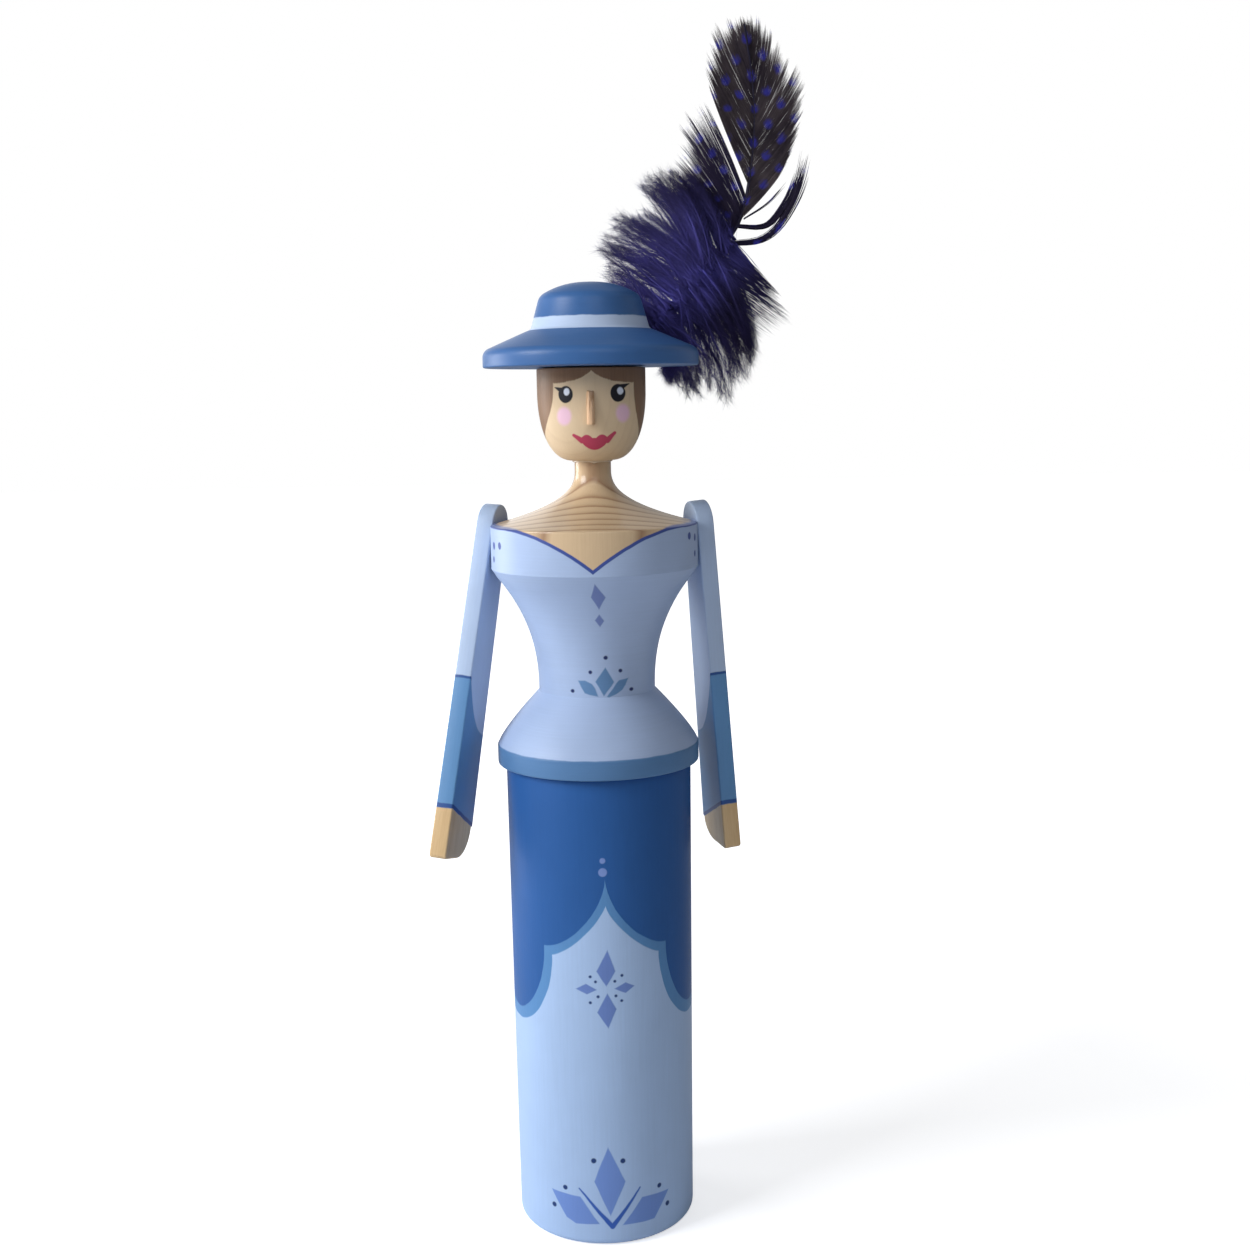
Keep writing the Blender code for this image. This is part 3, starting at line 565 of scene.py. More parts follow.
# Painted details: millimetres across the front and up, or round the chest band from the front
CHEST_ARC = 28.0
NECKLINE_RIM = 195.7
NECKLINE_DEPTH = 10.45
NECKLINE_REACH = 27.0
NECKLINE_BEND = 2.05
NECKLINE_WIDTHS = (0.36, 0.20)
NECKLINE_EDGE = 0.25
SHOULDER_DOTS = [(-34.8, 190.8, 1.05), (-30.3, 191.1, 1.0), (-35.3, 187.2, 0.85),
                 (31.6, 192.8, 1.0), (36.3, 192.1, 1.05), (36.1, 187.8, 0.85)]
SHOULDER_DOT_EDGE = 0.35
BODICE_LOZENGES = [
    [(0.4, 182.1), (-0.7, 178.4), (1.3, 174.9), (3.1, 178.3)],
    [(1.3, 173.5), (0.1, 171.9), (1.4, 170.0), (2.5, 171.7)],
]
WAIST_PETALS = [
    [(2.5, 158.7), (-0.2, 154.9), (2.0, 151.0), (4.8, 154.7)],
    [(-4.9, 155.1), (-3.0, 155.2), (-1.1, 154.3), (-0.3, 153.1), (0.5, 150.9), (-1.6, 151.3), (-3.3, 151.9),
     (-4.0, 153.5)],
    [(8.6, 155.4), (6.1, 155.0), (4.9, 153.7), (3.7, 152.0), (2.8, 150.8), (3.4, 150.6), (5.2, 151.3),
     (6.9, 152.3), (7.8, 153.6)],
]
WAIST_DOTS = [(2.7, 161.4, 0.55), (-1.5, 157.5, 0.5), (6.5, 157.6, 0.5), (-6.3, 152.3, 0.5),
              (9.3, 152.2, 0.5)]
BODICE_BLUE = paint(167, 187, 221)
HEM_TEAL = paint(86, 126, 172)
LINE_BLUE = paint(60, 80, 152)
LOZENGE_LILAC = paint(112, 130, 184)
DOT_NAVY = paint(38, 50, 100)
PETAL_BLUE = paint(98, 136, 180)
SHOULDER_PINE = paint(214, 188, 153)
SHOULDER_LATE = paint(152, 115, 86)
SHOULDER_GRAIN = ((0.0, 31.0), 3.56, 0.80)
RING_PHASE = 0.86
VARNISH = 0.55
VARNISH_DULLNESS = 0.34
TORSO_BRUSH = (0.03, 2.2)
TORSO_WAVES = (0.25, 0.35)
TORSO_RISE_WAVES = (0.22, 0.35)


def on_front(finish):
    """1 on the half that faces the front, and 0 behind."""
    return (finish.y + 1.0).inside(1.0)


def torso_finish():
    finish = Finish("torso_paint_and_varnish", {"Specular IOR Level": 0.22, "Coat Roughness": 0.16})
    arc = finish.around * CHEST_ARC
    shade, sheen, height = brushed(finish, arc, finish.z, TORSO_BRUSH)
    wood, _, fibres = pine_colour(finish, *SHOULDER_GRAIN, SHOULDER_PINE, SHOULDER_LATE, RING_PHASE)
    u = finish.unsteady(finish.x, *TORSO_WAVES)
    v = finish.unsteady(finish.z, *TORSO_RISE_WAVES, finish.vector(finish.z, finish.x, finish.y))
    slack = (1.0 - abs(arc) / NECKLINE_REACH).most(0.0)
    neckline = NECKLINE_RIM - slack ** NECKLINE_BEND * NECKLINE_DEPTH
    bare = (neckline - v).inside(NECKLINE_EDGE)
    line = (abs(v - neckline) - (slack * NECKLINE_WIDTHS[1] + NECKLINE_WIDTHS[0])).inside(NECKLINE_EDGE)
    front = on_front(finish)
    petals = leaves(u, v, WAIST_PETALS).inside() * front
    lozenges = leaves(u, v, BODICE_LOZENGES).inside() * front
    navy = dots(u, v, WAIST_DOTS).inside() * front
    beads = dots(arc, v, SHOULDER_DOTS).inside(SHOULDER_DOT_EDGE)
    hem = (v - peplum_level / MM).inside()
    colour = finish.flat(BODICE_BLUE).under(HEM_TEAL, hem).under(PETAL_BLUE, petals)
    colour = colour.under(LOZENGE_LILAC, lozenges).under(DOT_NAVY, navy).under(LINE_BLUE, beads).shaded(shade)
    colour = colour.under(wood, bare).under(LINE_BLUE, line)
    painted = 1.0 - bare
    thick = (painted + petals + lozenges + navy + beads + line) * PAINT_THICKNESS
    rough = sheen * painted + (VARNISH_DULLNESS + fibres * 0.10) * bare
    return finish.drawn(colour, rough, height * painted + fibres * bare * 0.02 + thick, bare * VARNISH)


stands_for(torso, "torso", "figure", torso_finish())


# Head: a turned block with a flat top and a round chin, glued on the neck's tenon.
# The face is bare varnished wood with painted eyes, cheeks and lips, and the hair is brown paint.
HEAD_RADIUS = 0.01455
CHIN_RADIUS = 0.0054
CHIN_HEIGHT = 0.0187
CHIN_FULLNESS = 2.2
HEAD_TOP_ROUND = 0.0004
HEAD_STEPS = 22
SOCKET_RADIUS = TENON_RADIUS + FIT_GAP
head_low, head_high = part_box("head")[0].z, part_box("head")[1].z
peg_low, peg_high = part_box("hat_peg")[0].z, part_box("hat_peg")[1].z


def head_radius(height):
    """Radius of the head so far above the chin: a full curve that stands upright at the temples."""
    rise = min(height / CHIN_HEIGHT, 1.0)
    reach = (1.0 - (1.0 - rise) ** CHIN_FULLNESS) ** (1.0 / CHIN_FULLNESS)
    return CHIN_RADIUS + (HEAD_RADIUS - CHIN_RADIUS) * reach


head_outline = [(SOCKET_RADIUS, tenon_top + FIT_GAP), (SOCKET_RADIUS, head_low)]
for step in range(HEAD_STEPS + 1):
    rise = CHIN_HEIGHT * (1.0 - math.cos(math.pi / 2.0 * step / HEAD_STEPS))
    head_outline.append((head_radius(rise), head_low + rise))
head_outline += round_corner((HEAD_RADIUS - HEAD_TOP_ROUND, head_high - HEAD_TOP_ROUND), HEAD_TOP_ROUND,
                             0.0, 90.0, 3)
head_outline += [(SOCKET_RADIUS, head_high), (SOCKET_RADIUS, peg_low - FIT_GAP)]
head = turn_on_lathe("head_turned", head_outline)

# Features: millimetres across the face and up; each eye, shine and cheek has its half width and half height
EYES = [(-6.48, 230.2, 1.90, 2.20), (7.15, 230.4, 1.95, 2.27)]
EYE_SHINES = [(-6.20, 230.90, 0.76, 0.94), (7.75, 230.92, 0.78, 0.96)]
LASHES = [((-7.2, 231.2), (-9.25, 232.1), (1.7, 0.25)), ((8.0, 231.9), (10.0, 232.75), (1.5, 0.25))]
CHEEKS = [(-6.98, 224.6, 1.85, 2.35), (8.33, 225.2, 1.75, 2.30)]
CHEEK_EDGE = 0.9
CHEEK_COVER = 0.92
LIP_MIDDLE = 0.75
LIP_FOOT = 215.7
LIP_BEND = (0.17, 2.05)
LIP_LINE = 218.9
LIP_BOWS = (2.0, 1.5, 0.85)
LIP_CORNERS = [((-2.5, 218.2), (-4.6, 219.7), (1.5, 0.8)), ((4.1, 218.2), (6.1, 220.1), (1.5, 0.8))]
FACE_EDGE = 0.25
FRINGE_FOOT = 233.0
# Where the fringe is parted, how high the parting rises and how wide it is
FRINGE_PART = (0.28, 3.3, 3.4)
# Each side's edge of the hair: the side, its angle from the front, and how it draws back lower down
HAIR_EDGES = [(-1.0, math.radians(41.8), 0.0515), (1.0, math.radians(50.7), 0.037)]
HAIR_BEND = 2.5
HAIR_EDGE = 0.35
HAIR_BRUSH = (2.2, 0.10)
HAIR_SHADES = 0.45
FACE_WOOD = paint(221, 198, 165)
FACE_LATE = paint(186, 156, 124)
FACE_GRAIN = ((26.0, 40.0), 2.3, 0.14)
FACE_WAVES = (0.35, 0.25)
FACE_RISE_WAVES = (0.30, 0.25)
FACE_DULLNESS = 0.46
FACE_PAINT_THICKNESS = 0.03
HAIR_BROWN = paint(136, 106, 82)
EYE_DARK = paint(20, 20, 30)
EYE_SHINE = paint(226, 232, 244)
CHEEK_PINK = paint(232, 192, 214)
LIP_RED = paint(184, 66, 94)


def ovals(u, v, shapes):
    """Distance to the nearest of some ovals, in millimetres near their edges."""
    distances = []
    for across, up, half_width, half_height in shapes:
        size = (((u - across) / half_width) ** 2.0 + ((v - up) / half_height) ** 2.0).root()
        distances.append((size - 1.0) * ((half_width + half_height) / 2.0))
    return nearest_of(distances)


def hair_reach(arc, v):
    """Distance to the painted hair: a parted fringe, and sides that draw back towards the ears."""
    part_place, part_rise, part_width = FRINGE_PART
    from_part = abs(arc - part_place) * (-1.0 / part_width)
    hair = from_part.math("EXPONENT", from_part) * part_rise + FRINGE_FOOT - v
    below = (FRINGE_FOOT - v).most(0.0) ** HAIR_BEND
    for side, edge, widen in HAIR_EDGES:
        limit = (below * math.radians(widen) + edge) * (HEAD_RADIUS / MM)
        hair = hair.least(limit - arc * side)
    return hair


def lip_reach(u, v):
    """Distance to the lips: two bows above, one bend below and a stroke at each corner."""
    from_middle = abs(u - LIP_MIDDLE)
    bow_place, bow_width, bow_rise = LIP_BOWS
    bows = (1.0 - ((from_middle - bow_place) / bow_width) ** 2.0).most(0.0) * bow_rise
    lips = (v - bows - LIP_LINE).most(from_middle ** LIP_BEND[1] * LIP_BEND[0] + LIP_FOOT - v)
    return lips.least(strokes(u, v, LIP_CORNERS))


def head_finish():
    finish = Finish("head_varnish_and_paint", {"Specular IOR Level": 0.25})
    wood, _, fibres = pine_colour(finish, *FACE_GRAIN, FACE_WOOD, FACE_LATE)
    u = finish.unsteady(finish.x, *FACE_WAVES)
    v = finish.unsteady(finish.z, *FACE_RISE_WAVES, finish.vector(finish.z, finish.x, finish.y))
    front = on_front(finish)
    arc = finish.around * (HEAD_RADIUS / MM)
    marks = finish.streaks(arc * HAIR_BRUSH[0], finish.z * HAIR_BRUSH[1])
    hair = (hair_reach(arc, v) + marks * 0.5).inside(HAIR_EDGE)
    eyes = ovals(u, v, EYES).least(strokes(u, v, LASHES)).inside(FACE_EDGE) * front
    shines = ovals(u, v, EYE_SHINES).inside() * front
    cheeks = ovals(u, v, CHEEKS).inside(CHEEK_EDGE) * front
    lips = lip_reach(u, v).inside(FACE_EDGE) * front
    hair_colour = finish.flat(HAIR_BROWN).shaded(1.0 + marks * HAIR_SHADES)
    colour = wood.under(CHEEK_PINK, cheeks * CHEEK_COVER).under(hair_colour, hair)
    colour = colour.under(EYE_DARK, eyes).under(EYE_SHINE, shines).under(LIP_RED, lips)
    rough = FACE_DULLNESS + fibres * 0.12 + finish.noise(4.0) * 0.10
    thick = (hair + eyes + shines + lips + cheeks * 0.5) * FACE_PAINT_THICKNESS
    return finish.drawn(colour, rough, fibres * 0.02 + marks * hair * 0.03 + thick)


stands_for(head, "head", "figure", head_finish())


# Nose: a whittled sliver of wood with a flat foot, glued on the face.
# It is cut from a small block with a knife, so its facets show, and it stays bare and dull.
NOSE_BLOCK = (0.0026, 0.0042, 0.0096)
NOSE_SINK = 0.0004
NOSE_EASE = 0.00012
NOSE_EASE_ABOVE = math.radians(12.0)
# Each cut: a point on it from the nose's foot on the face (across, outward, up) in mm, and where it faces
NOSE_CUTS = [
    ((0.0, 3.0, 0.0), (0.05, 1.0, 0.155)), ((0.0, -0.2, 0.0), (0.0, -1.0, 0.085)),
    ((1.08, 0.0, 0.0), (1.0, 0.0, 0.012)), ((-0.98, 0.0, 0.0), (-1.0, 0.0, -0.010)),
    ((0.66, 2.7, 0.0), (0.80, 0.62, 0.10)), ((-0.62, 2.7, 0.0), (-0.84, 0.55, 0.09)),
    ((0.0, 0.0, 9.1), (0.1, 0.45, 1.0)), ((0.0, 0.0, 0.05), (0.0, -0.12, -1.0)),
    ((0.0, 2.35, 5.0), (0.30, 1.0, 0.24)), ((-0.3, 2.75, 1.2), (-0.30, 1.0, -0.05)),
    ((0.0, 1.7, 8.2), (-0.1, 1.0, 0.55)),
]
NOSE_WOOD = paint(222, 184, 146)
NOSE_LATE = paint(176, 130, 94)
NOSE_GRAIN = ((-3.4, -12.0), 1.25, 0.65)
KNIFE_MARKS_ACROSS = 5.0
KNIFE_MARKS_UP = 0.9
nose_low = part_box("nose")[0].z
nose_foot = Vector((0.0, -head_radius(nose_low - head_low), nose_low))
bpy.ops.object.select_all(action="DESELECT")
bpy.ops.mesh.primitive_cube_add(size=1.0)
nose = bpy.context.object
nose.name = "nose_whittled"
nose.scale = NOSE_BLOCK
nose.location = nose_foot + Vector((0.0, NOSE_SINK - NOSE_BLOCK[1] / 2.0, NOSE_BLOCK[2] / 2.0))
bpy.ops.object.transform_apply(location=True, rotation=True, scale=True)
bpy.ops.object.mode_set(mode="EDIT")
for (across, outward, rise), (face_across, face_out, face_up) in NOSE_CUTS:
    cut_off(nose_foot + Vector((across, -outward, rise)) * MM, (face_across, -face_out, face_up))
face_outwards()


def ease_edges(piece, width, segments, above):
    """Round off a piece's edges that are sharper than an angle."""
    pick(piece)
    ease = piece.modifiers.new("ease", "BEVEL")
    ease.width = width
    ease.segments = segments
    ease.limit_method = "ANGLE"
    ease.angle_limit = above
    bpy.ops.object.modifier_apply(modifier="ease")
    smooth(piece)


ease_edges(nose, NOSE_EASE, 2, NOSE_EASE_ABOVE)


def nose_finish():
    finish = Finish("nose_bare_wood", {"Specular IOR Level": 0.35})
    wood, _, fibres = pine_colour(finish, *NOSE_GRAIN, NOSE_WOOD, NOSE_LATE)
    cuts = finish.streaks(finish.x * KNIFE_MARKS_ACROSS, finish.y * KNIFE_MARKS_ACROSS,
                          finish.z * KNIFE_MARKS_UP)
    return finish.drawn(wood.shaded(1.0 + cuts * 0.25), 0.55 + cuts * 0.25, cuts * 0.05 + fibres * 0.03)


stands_for(nose, "nose", "figure", nose_finish())


# Glue line: the head was set on the neck in clear glue, and some was squeezed out under the chin.
# It hardened as a thin ring with one shining bead at the front.
GLUE_RING = (0.00515, 0.00028)
GLUE_SIDES = (72, 10)
GLUE_BEAD_PLACE = 0.00045
GLUE_BEAD_WIDTH = 0.11
GLUE_BEAD_SWELL = 1.1
# Each wave round the ring: how thick, how many of them and where the first one starts
GLUE_WAVES = [(0.18, 3.0, 0.6), (0.10, 7.0, 0.0)]
GLUE_DARK = paint(214, 192, 160)
GLUE_PALE = paint(236, 222, 198)
glue_level = head_low - FIT_GAP / 2.0
bpy.ops.object.select_all(action="DESELECT")
bpy.ops.mesh.primitive_torus_add(major_radius=GLUE_RING[0], minor_radius=GLUE_RING[1],
                                 major_segments=GLUE_SIDES[0], minor_segments=GLUE_SIDES[1],
                                 location=(0.0, 0.0, glue_level))
glue = bpy.context.object
glue.name = "neck_glue"
bpy.ops.object.transform_apply(location=True, rotation=True, scale=True)
for corner in glue.data.vertices:
    angle = math.atan2(corner.co.x, -corner.co.y)
    nearness = math.exp(-((angle - GLUE_BEAD_PLACE / GLUE_RING[0]) / GLUE_BEAD_WIDTH) ** 2)
    wander = sum(thick * math.sin(count * angle + start) for thick, count, start in GLUE_WAVES)
    middle = Vector((corner.co.x, corner.co.y, 0.0)).normalized() * GLUE_RING[0]
    middle.z = glue_level
    corner.co = middle + (corner.co - middle) * (1.0 + wander + GLUE_BEAD_SWELL * nearness)
bpy.ops.object.shade_smooth()
glue_clear = Finish("neck_clear_glue", {"Specular IOR Level": 0.6, "Coat Weight": 0.8,
                                        "Coat Roughness": 0.05})
glue_colour = glue_clear.flat(GLUE_DARK).under(GLUE_PALE, glue_clear.noise(0.8) + 0.5)
coat_with(glue, glue_clear.drawn(glue_colour, 0.22 + glue_clear.noise(2.0) * 0.15))
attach(glue, "figure")


# Hat peg: a dowel of plain wood, half in the head and half in the hat.
# It is glued in both, and hidden by them.
PEG_GRAIN = ((9.0, 12.0), 1.8, 0.5)
peg_wood = Finish("hat_peg_dowel_wood", OILED)
peg_colour, _, peg_fibres = pine_colour(peg_wood, *PEG_GRAIN)
coat_with(frame["nodes"]["hat_peg"], peg_wood.drawn(peg_colour, 0.6 + peg_fibres * 0.2, peg_fibres * 0.03))


# Hat: crown and brim in one turning, glued on the peg. It is brushed a mid blue all over, and a pale
# band is painted round the foot of the crown. A slanting hole behind it takes the feather's shaft.
BRIM_RADIUS = 0.0288
BRIM_EDGE_HEIGHT = 0.0051
BRIM_EDGE_ROUND = 0.0026
BRIM_FOOT_ROUND = 0.0005
BRIM_RISE = 0.0048
CROWN_FOOT_RADIUS = 0.0157
CROWN_FOOT_FILLET = 0.0005
# Points of that fillet: out from the crown's foot and up, in lengths of the fillet
CROWN_FOOT_POINTS = [(4.0, -1.4), (1.0, -0.2), (0.0, 1.0)]
CROWN_HEIGHT = 0.0094
CROWN_SHOULDER_ROUND = 0.00337
DOME_FOOT_RADIUS = 0.0122
DOME_HEIGHT = 0.0029
DOME_FULLNESS = 2.4
DOME_STEPS = 14
DOME_EYE = 0.03
DOME_SLOPE = math.radians(60.0)
EDGE_TO_SLOPE = 0.0024
# Angles in degrees at which the brim's edge meets its slope, and the crown's flank its shoulder
BRIM_EDGE_TURN = 67.3
CROWN_LEAN = 14.7
brim_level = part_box("hat")[0].z
edge_top = brim_level + BRIM_EDGE_HEIGHT
crown_level = edge_top + BRIM_RISE
crown_top = crown_level + CROWN_HEIGHT
hat_outline = [(SOCKET_RADIUS, peg_high + FIT_GAP), (SOCKET_RADIUS, brim_level)]
hat_outline += round_corner((BRIM_RADIUS - BRIM_FOOT_ROUND, brim_level + BRIM_FOOT_ROUND), BRIM_FOOT_ROUND,
                            -90.0, 0.0, 4)
hat_outline += round_corner((BRIM_RADIUS - BRIM_EDGE_ROUND, edge_top - EDGE_TO_SLOPE), BRIM_EDGE_ROUND,
                            0.0, BRIM_EDGE_TURN, 10)
for aside, rise in CROWN_FOOT_POINTS:
    hat_outline.append((CROWN_FOOT_RADIUS + aside * CROWN_FOOT_FILLET,
                        crown_level + rise * CROWN_FOOT_FILLET))
hat_outline += round_corner((DOME_FOOT_RADIUS - CROWN_SHOULDER_ROUND * math.cos(DOME_SLOPE),
                             crown_top - CROWN_SHOULDER_ROUND * math.sin(DOME_SLOPE)),
                            CROWN_SHOULDER_ROUND, CROWN_LEAN, math.degrees(DOME_SLOPE), 8)
for step in range(1, DOME_STEPS + 1):
    share = 1.0 - (1.0 - DOME_EYE) * step / DOME_STEPS
    rise = DOME_HEIGHT * (1.0 - share ** DOME_FULLNESS)
    hat_outline.append((DOME_FOOT_RADIUS * share, crown_top + rise))
hat = turn_on_lathe("hat_turned", hat_outline)

# The feather's shaft: points up from the brim's slope, behind the crown and to the right
SHAFT_POINTS = [Vector(point) for point in (
    (0.01487, 0.01396, 0.24544), (0.02988, 0.01693, 0.26260), (0.04168, 0.01899, 0.27762),
    (0.04540, 0.01899, 0.29841), (0.04507, 0.01792, 0.31342), (0.04284, 0.01545, 0.32794))]
SHAFT_HOLE_RADIUS = 0.0011
SHAFT_HOLE_DEPTH = 0.0076
CURVE_STEP = 0.01


def curve_point(points, share):
    """A smooth curve through points (Catmull-Rom), from share 0 at the first to 1 at the last."""
    spans = len(points) - 1
    place = min(max(share, 0.0), 1.0) * spans
    first = min(int(place), spans - 1)
    local = place - first
    before = points[first - 1] if first > 0 else points[0] * 2.0 - points[1]
    start, end = points[first], points[first + 1]
    after = points[first + 2] if first + 2 <= spans else end * 2.0 - start
    slope = (end - before) * local
    bend = (before * 2.0 - start * 5.0 + end * 4.0 - after) * local ** 2
    twist = (start * 3.0 - before - end * 3.0 + after) * local ** 3
    return (start * 2.0 + slope + bend + twist) * 0.5


shaft_start = curve_point(SHAFT_POINTS, 0.0)
shaft_rise = (curve_point(SHAFT_POINTS, CURVE_STEP) - shaft_start).normalized()
drill(hat, shaft_start + shaft_rise * SHAFT_HOLE_DEPTH, -shaft_rise, SHAFT_HOLE_RADIUS,
      2.0 * SHAFT_HOLE_DEPTH)
smooth(hat)

HAT_BLUE = paint(56, 100, 157)
BAND_BLUE = paint(186, 205, 234)
BAND_EDGES = (246.8, 250.4)
BAND_REACH = 0.9
BAND_WAVES = (0.20, 0.7)
BAND_SHAKE = (1.0, 0.15)
BAND_THICKNESS = 0.03
HAT_BRUSH = (0.10, 2.0)


def hat_finish():
    finish = Finish("hat_brushed_paint", {"Specular IOR Level": 0.35})
    arc = finish.around * (CROWN_FOOT_RADIUS / MM)
    shade, sheen, height = brushed(finish, arc, finish.z, HAT_BRUSH)
    v = finish.unsteady(finish.unsteady(finish.z, *BAND_WAVES), *BAND_SHAKE)
    reach = (finish.x ** 2.0 + finish.y ** 2.0).root()
    on_brim = reach - (CROWN_FOOT_RADIUS / MM + BAND_REACH)
    band = (BAND_EDGES[0] - v).most(v - BAND_EDGES[1]).most(on_brim).inside()
    colour = finish.flat(HAT_BLUE).under(BAND_BLUE, band)
    return finish.drawn(colour.shaded(shade), sheen, height + band * BAND_THICKNESS)


stands_for(hat, "hat", "figure", hat_finish())


# Arms: flat bars sawn to shape, with eased edges, each hung on one screw in a counterbore at the shoulder.
# The sleeves are pale blue above and mid blue below a drawn line, and the hands are bare varnished wood.
ARM_THICKNESS = 0.0048
ARM_SHOULDER_WIDTH = 0.0124
ARM_WRIST_WIDTH = 0.0172
ARM_ABOVE_PIVOT = 0.0112
ARM_BELOW_PIVOT = 0.0866
HAND_LENGTH = 0.0138
HAND_STEP = 0.0009
HAND_FRONT_ROUND = 0.0012
CUFF_DROPS = {-1: 0.0055, 1: 0.0086}
ARM_EASE = 0.0005
ARM_EASE_ABOVE = math.radians(50.0)
ARM_CROWN_STEPS = 24
HAND_BACK_STEPS = 14
ARM_SWINGS = {-1: math.radians(14.0), 1: math.radians(-1.3)}
WASHER_ROOM = 0.0045
COUNTERBORE_DEPTH = 0.0016
SLEEVE_LINES = {-1: 37.5, 1: 36.3}
SLEEVE_LINE_WIDTH = 0.75
SLEEVE_FALLS = {-1: 15.0, 1: 19.0}
SLEEVE_BEND = 2.1
WRIST_LINES = {-1: 72.4, 1: 73.0}
WRIST_LINE_WIDTH = 1.15
WRIST_FALLS = {-1: 5.4, 1: 8.2}
SLEEVE_EDGE = 0.35
SLEEVE_BRUSH = (2.0, 0.07)
SLEEVE_WAVES = (0.35, 0.45)
SLEEVE_BLUE = paint(176, 196, 226)
CUFF_BLUE = paint(98, 144, 192)
SLEEVE_LINE_BLUE = paint(50, 84, 146)
HAND_WOOD = paint(222, 193, 148)
HAND_LATE = paint(188, 150, 104)
# Fibres and rings to a millimetre, across the bar and along it, then the share of late wood and what
# the fibres and the rings add to it
HAND_FIBRES = (2.5, 0.10)
HAND_RINGS = (0.5, 0.03)
HAND_SHARES = (0.25, 0.9, 0.8)
HAND_VARNISH = 0.35
HAND_DULLNESS = 0.42


def arm_outline(cuff_drop):
    """The arm seen flat: (towards the front, up from the screw), once round."""
    crown = ARM_SHOULDER_WIDTH / 2.0
    wrist = ARM_WRIST_WIDTH / 2.0
    end = -ARM_BELOW_PIVOT
    cuff = end + HAND_LENGTH
    taper = (wrist - crown) / (ARM_BELOW_PIVOT - HAND_LENGTH)
    hand_back = wrist - HAND_STEP
    back_cuff = cuff - cuff_drop
    front_end = wrist + taper * HAND_LENGTH
    points = round_corner((0.0, ARM_ABOVE_PIVOT - crown), crown, 180.0, 0.0, ARM_CROWN_STEPS)
    points.append((wrist, cuff))
    points += round_corner((front_end - HAND_FRONT_ROUND, end + HAND_FRONT_ROUND), HAND_FRONT_ROUND,
                           0.0, -90.0)
    for across, up in round_corner((0.0, 0.0), 1.0, -90.0, -180.0, HAND_BACK_STEPS):
        points.append((hand_back * across, back_cuff + (back_cuff - end) * up))
    points.append((-wrist, back_cuff))
    return points


def saw_arm(name, place, front, up, out, cuff_drop):
    """A flat bar sawn to the arm's outline, as thick as the arm, with eased edges and its screw's holes."""
    outline = arm_outline(cuff_drop)
    bpy.ops.object.select_all(action="DESELECT")
    bpy.ops.mesh.primitive_circle_add(vertices=len(outline), radius=ARM_BELOW_PIVOT, fill_type="NGON")
    arm = bpy.context.object
    arm.name = name
    for corner, (ahead, rise) in zip(arm.data.vertices, outline):
        corner.co = place + front * ahead + up * rise + out * FIT_GAP
    bpy.ops.object.mode_set(mode="EDIT")
    bpy.ops.mesh.select_all(action="SELECT")
    bpy.ops.mesh.extrude_region_move(TRANSFORM_OT_translate={"value": out * ARM_THICKNESS})
    face_outwards()
    ease_edges(arm, ARM_EASE, 3, ARM_EASE_ABOVE)
    outside = place + out * (FIT_GAP + ARM_THICKNESS)
    drill(arm, place - out * ARM_THICKNESS, out, SCREW_HOLE_RADIUS, 3.0 * ARM_THICKNESS)
    drill(arm, outside - out * COUNTERBORE_DEPTH, out, WASHER_ROOM, 2.0 * COUNTERBORE_DEPTH)
    smooth(arm)
    return arm


def arm_finish(name, place, front, up, out, side):
    finish = Finish(name, {"Specular IOR Level": 0.22, "Coat Roughness": 0.25})

    def measured(direction):
        along = finish.place.node("VectorMath", {"operation": "DOT_PRODUCT"},
                                  {0: finish.place, 1: direction}, 1)
        return along - place.dot(direction) / MM

    ahead, rise, outward = measured(front), measured(up), measured(out)
    shade, sheen, height = brushed(finish, ahead + outward, rise, SLEEVE_BRUSH)
    level = finish.unsteady(rise, *SLEEVE_WAVES)
    widen = (ARM_WRIST_WIDTH - ARM_SHOULDER_WIDTH) / 2.0 / (ARM_ABOVE_PIVOT + ARM_BELOW_PIVOT - HAND_LENGTH)
    half = rise * -widen + ARM_SHOULDER_WIDTH / 2.0 / MM
    behind = ((half - ahead) / (half * 2.0)).held()
    fall = 1.0 - (1.0 - behind) ** SLEEVE_BEND
    below_line = level + SLEEVE_LINES[side] + fall * SLEEVE_FALLS[side]
    cuff = below_line.inside()
    front_face = (half - ahead - SLEEVE_EDGE).inside()
    top_line = (abs(below_line) - SLEEVE_LINE_WIDTH / 2.0).inside() * front_face
    below_wrist = level + WRIST_LINES[side] + behind * WRIST_FALLS[side]
    wrist_line = (abs(below_wrist) - WRIST_LINE_WIDTH / 2.0).inside()
    hand = (below_wrist + WRIST_LINE_WIDTH / 2.0).inside()
    sleeve = 1.0 - hand
    fibres = finish.streaks(ahead * HAND_FIBRES[0], outward * HAND_FIBRES[0], rise * HAND_FIBRES[1],
                            roughness=0.65)
    rings = finish.streaks(ahead * HAND_RINGS[0], outward * HAND_RINGS[0], rise * HAND_RINGS[1], 2.0, 0.5)
    late = (HAND_SHARES[0] + fibres * HAND_SHARES[1] + rings * HAND_SHARES[2]).held()
    wood = finish.flat(HAND_WOOD).under(HAND_LATE, late)
    colour = finish.flat(SLEEVE_BLUE).under(CUFF_BLUE, cuff).under(SLEEVE_LINE_BLUE, top_line).shaded(shade)
    colour = colour.under(wood, hand).under(SLEEVE_LINE_BLUE, wrist_line)
    thick = (sleeve + cuff + wrist_line) * PAINT_THICKNESS
    rough = sheen * sleeve + (HAND_DULLNESS + fibres * 0.2) * hand
    return finish.drawn(colour, rough, height * sleeve + fibres * hand * 0.03 + thick, hand * HAND_VARNISH)


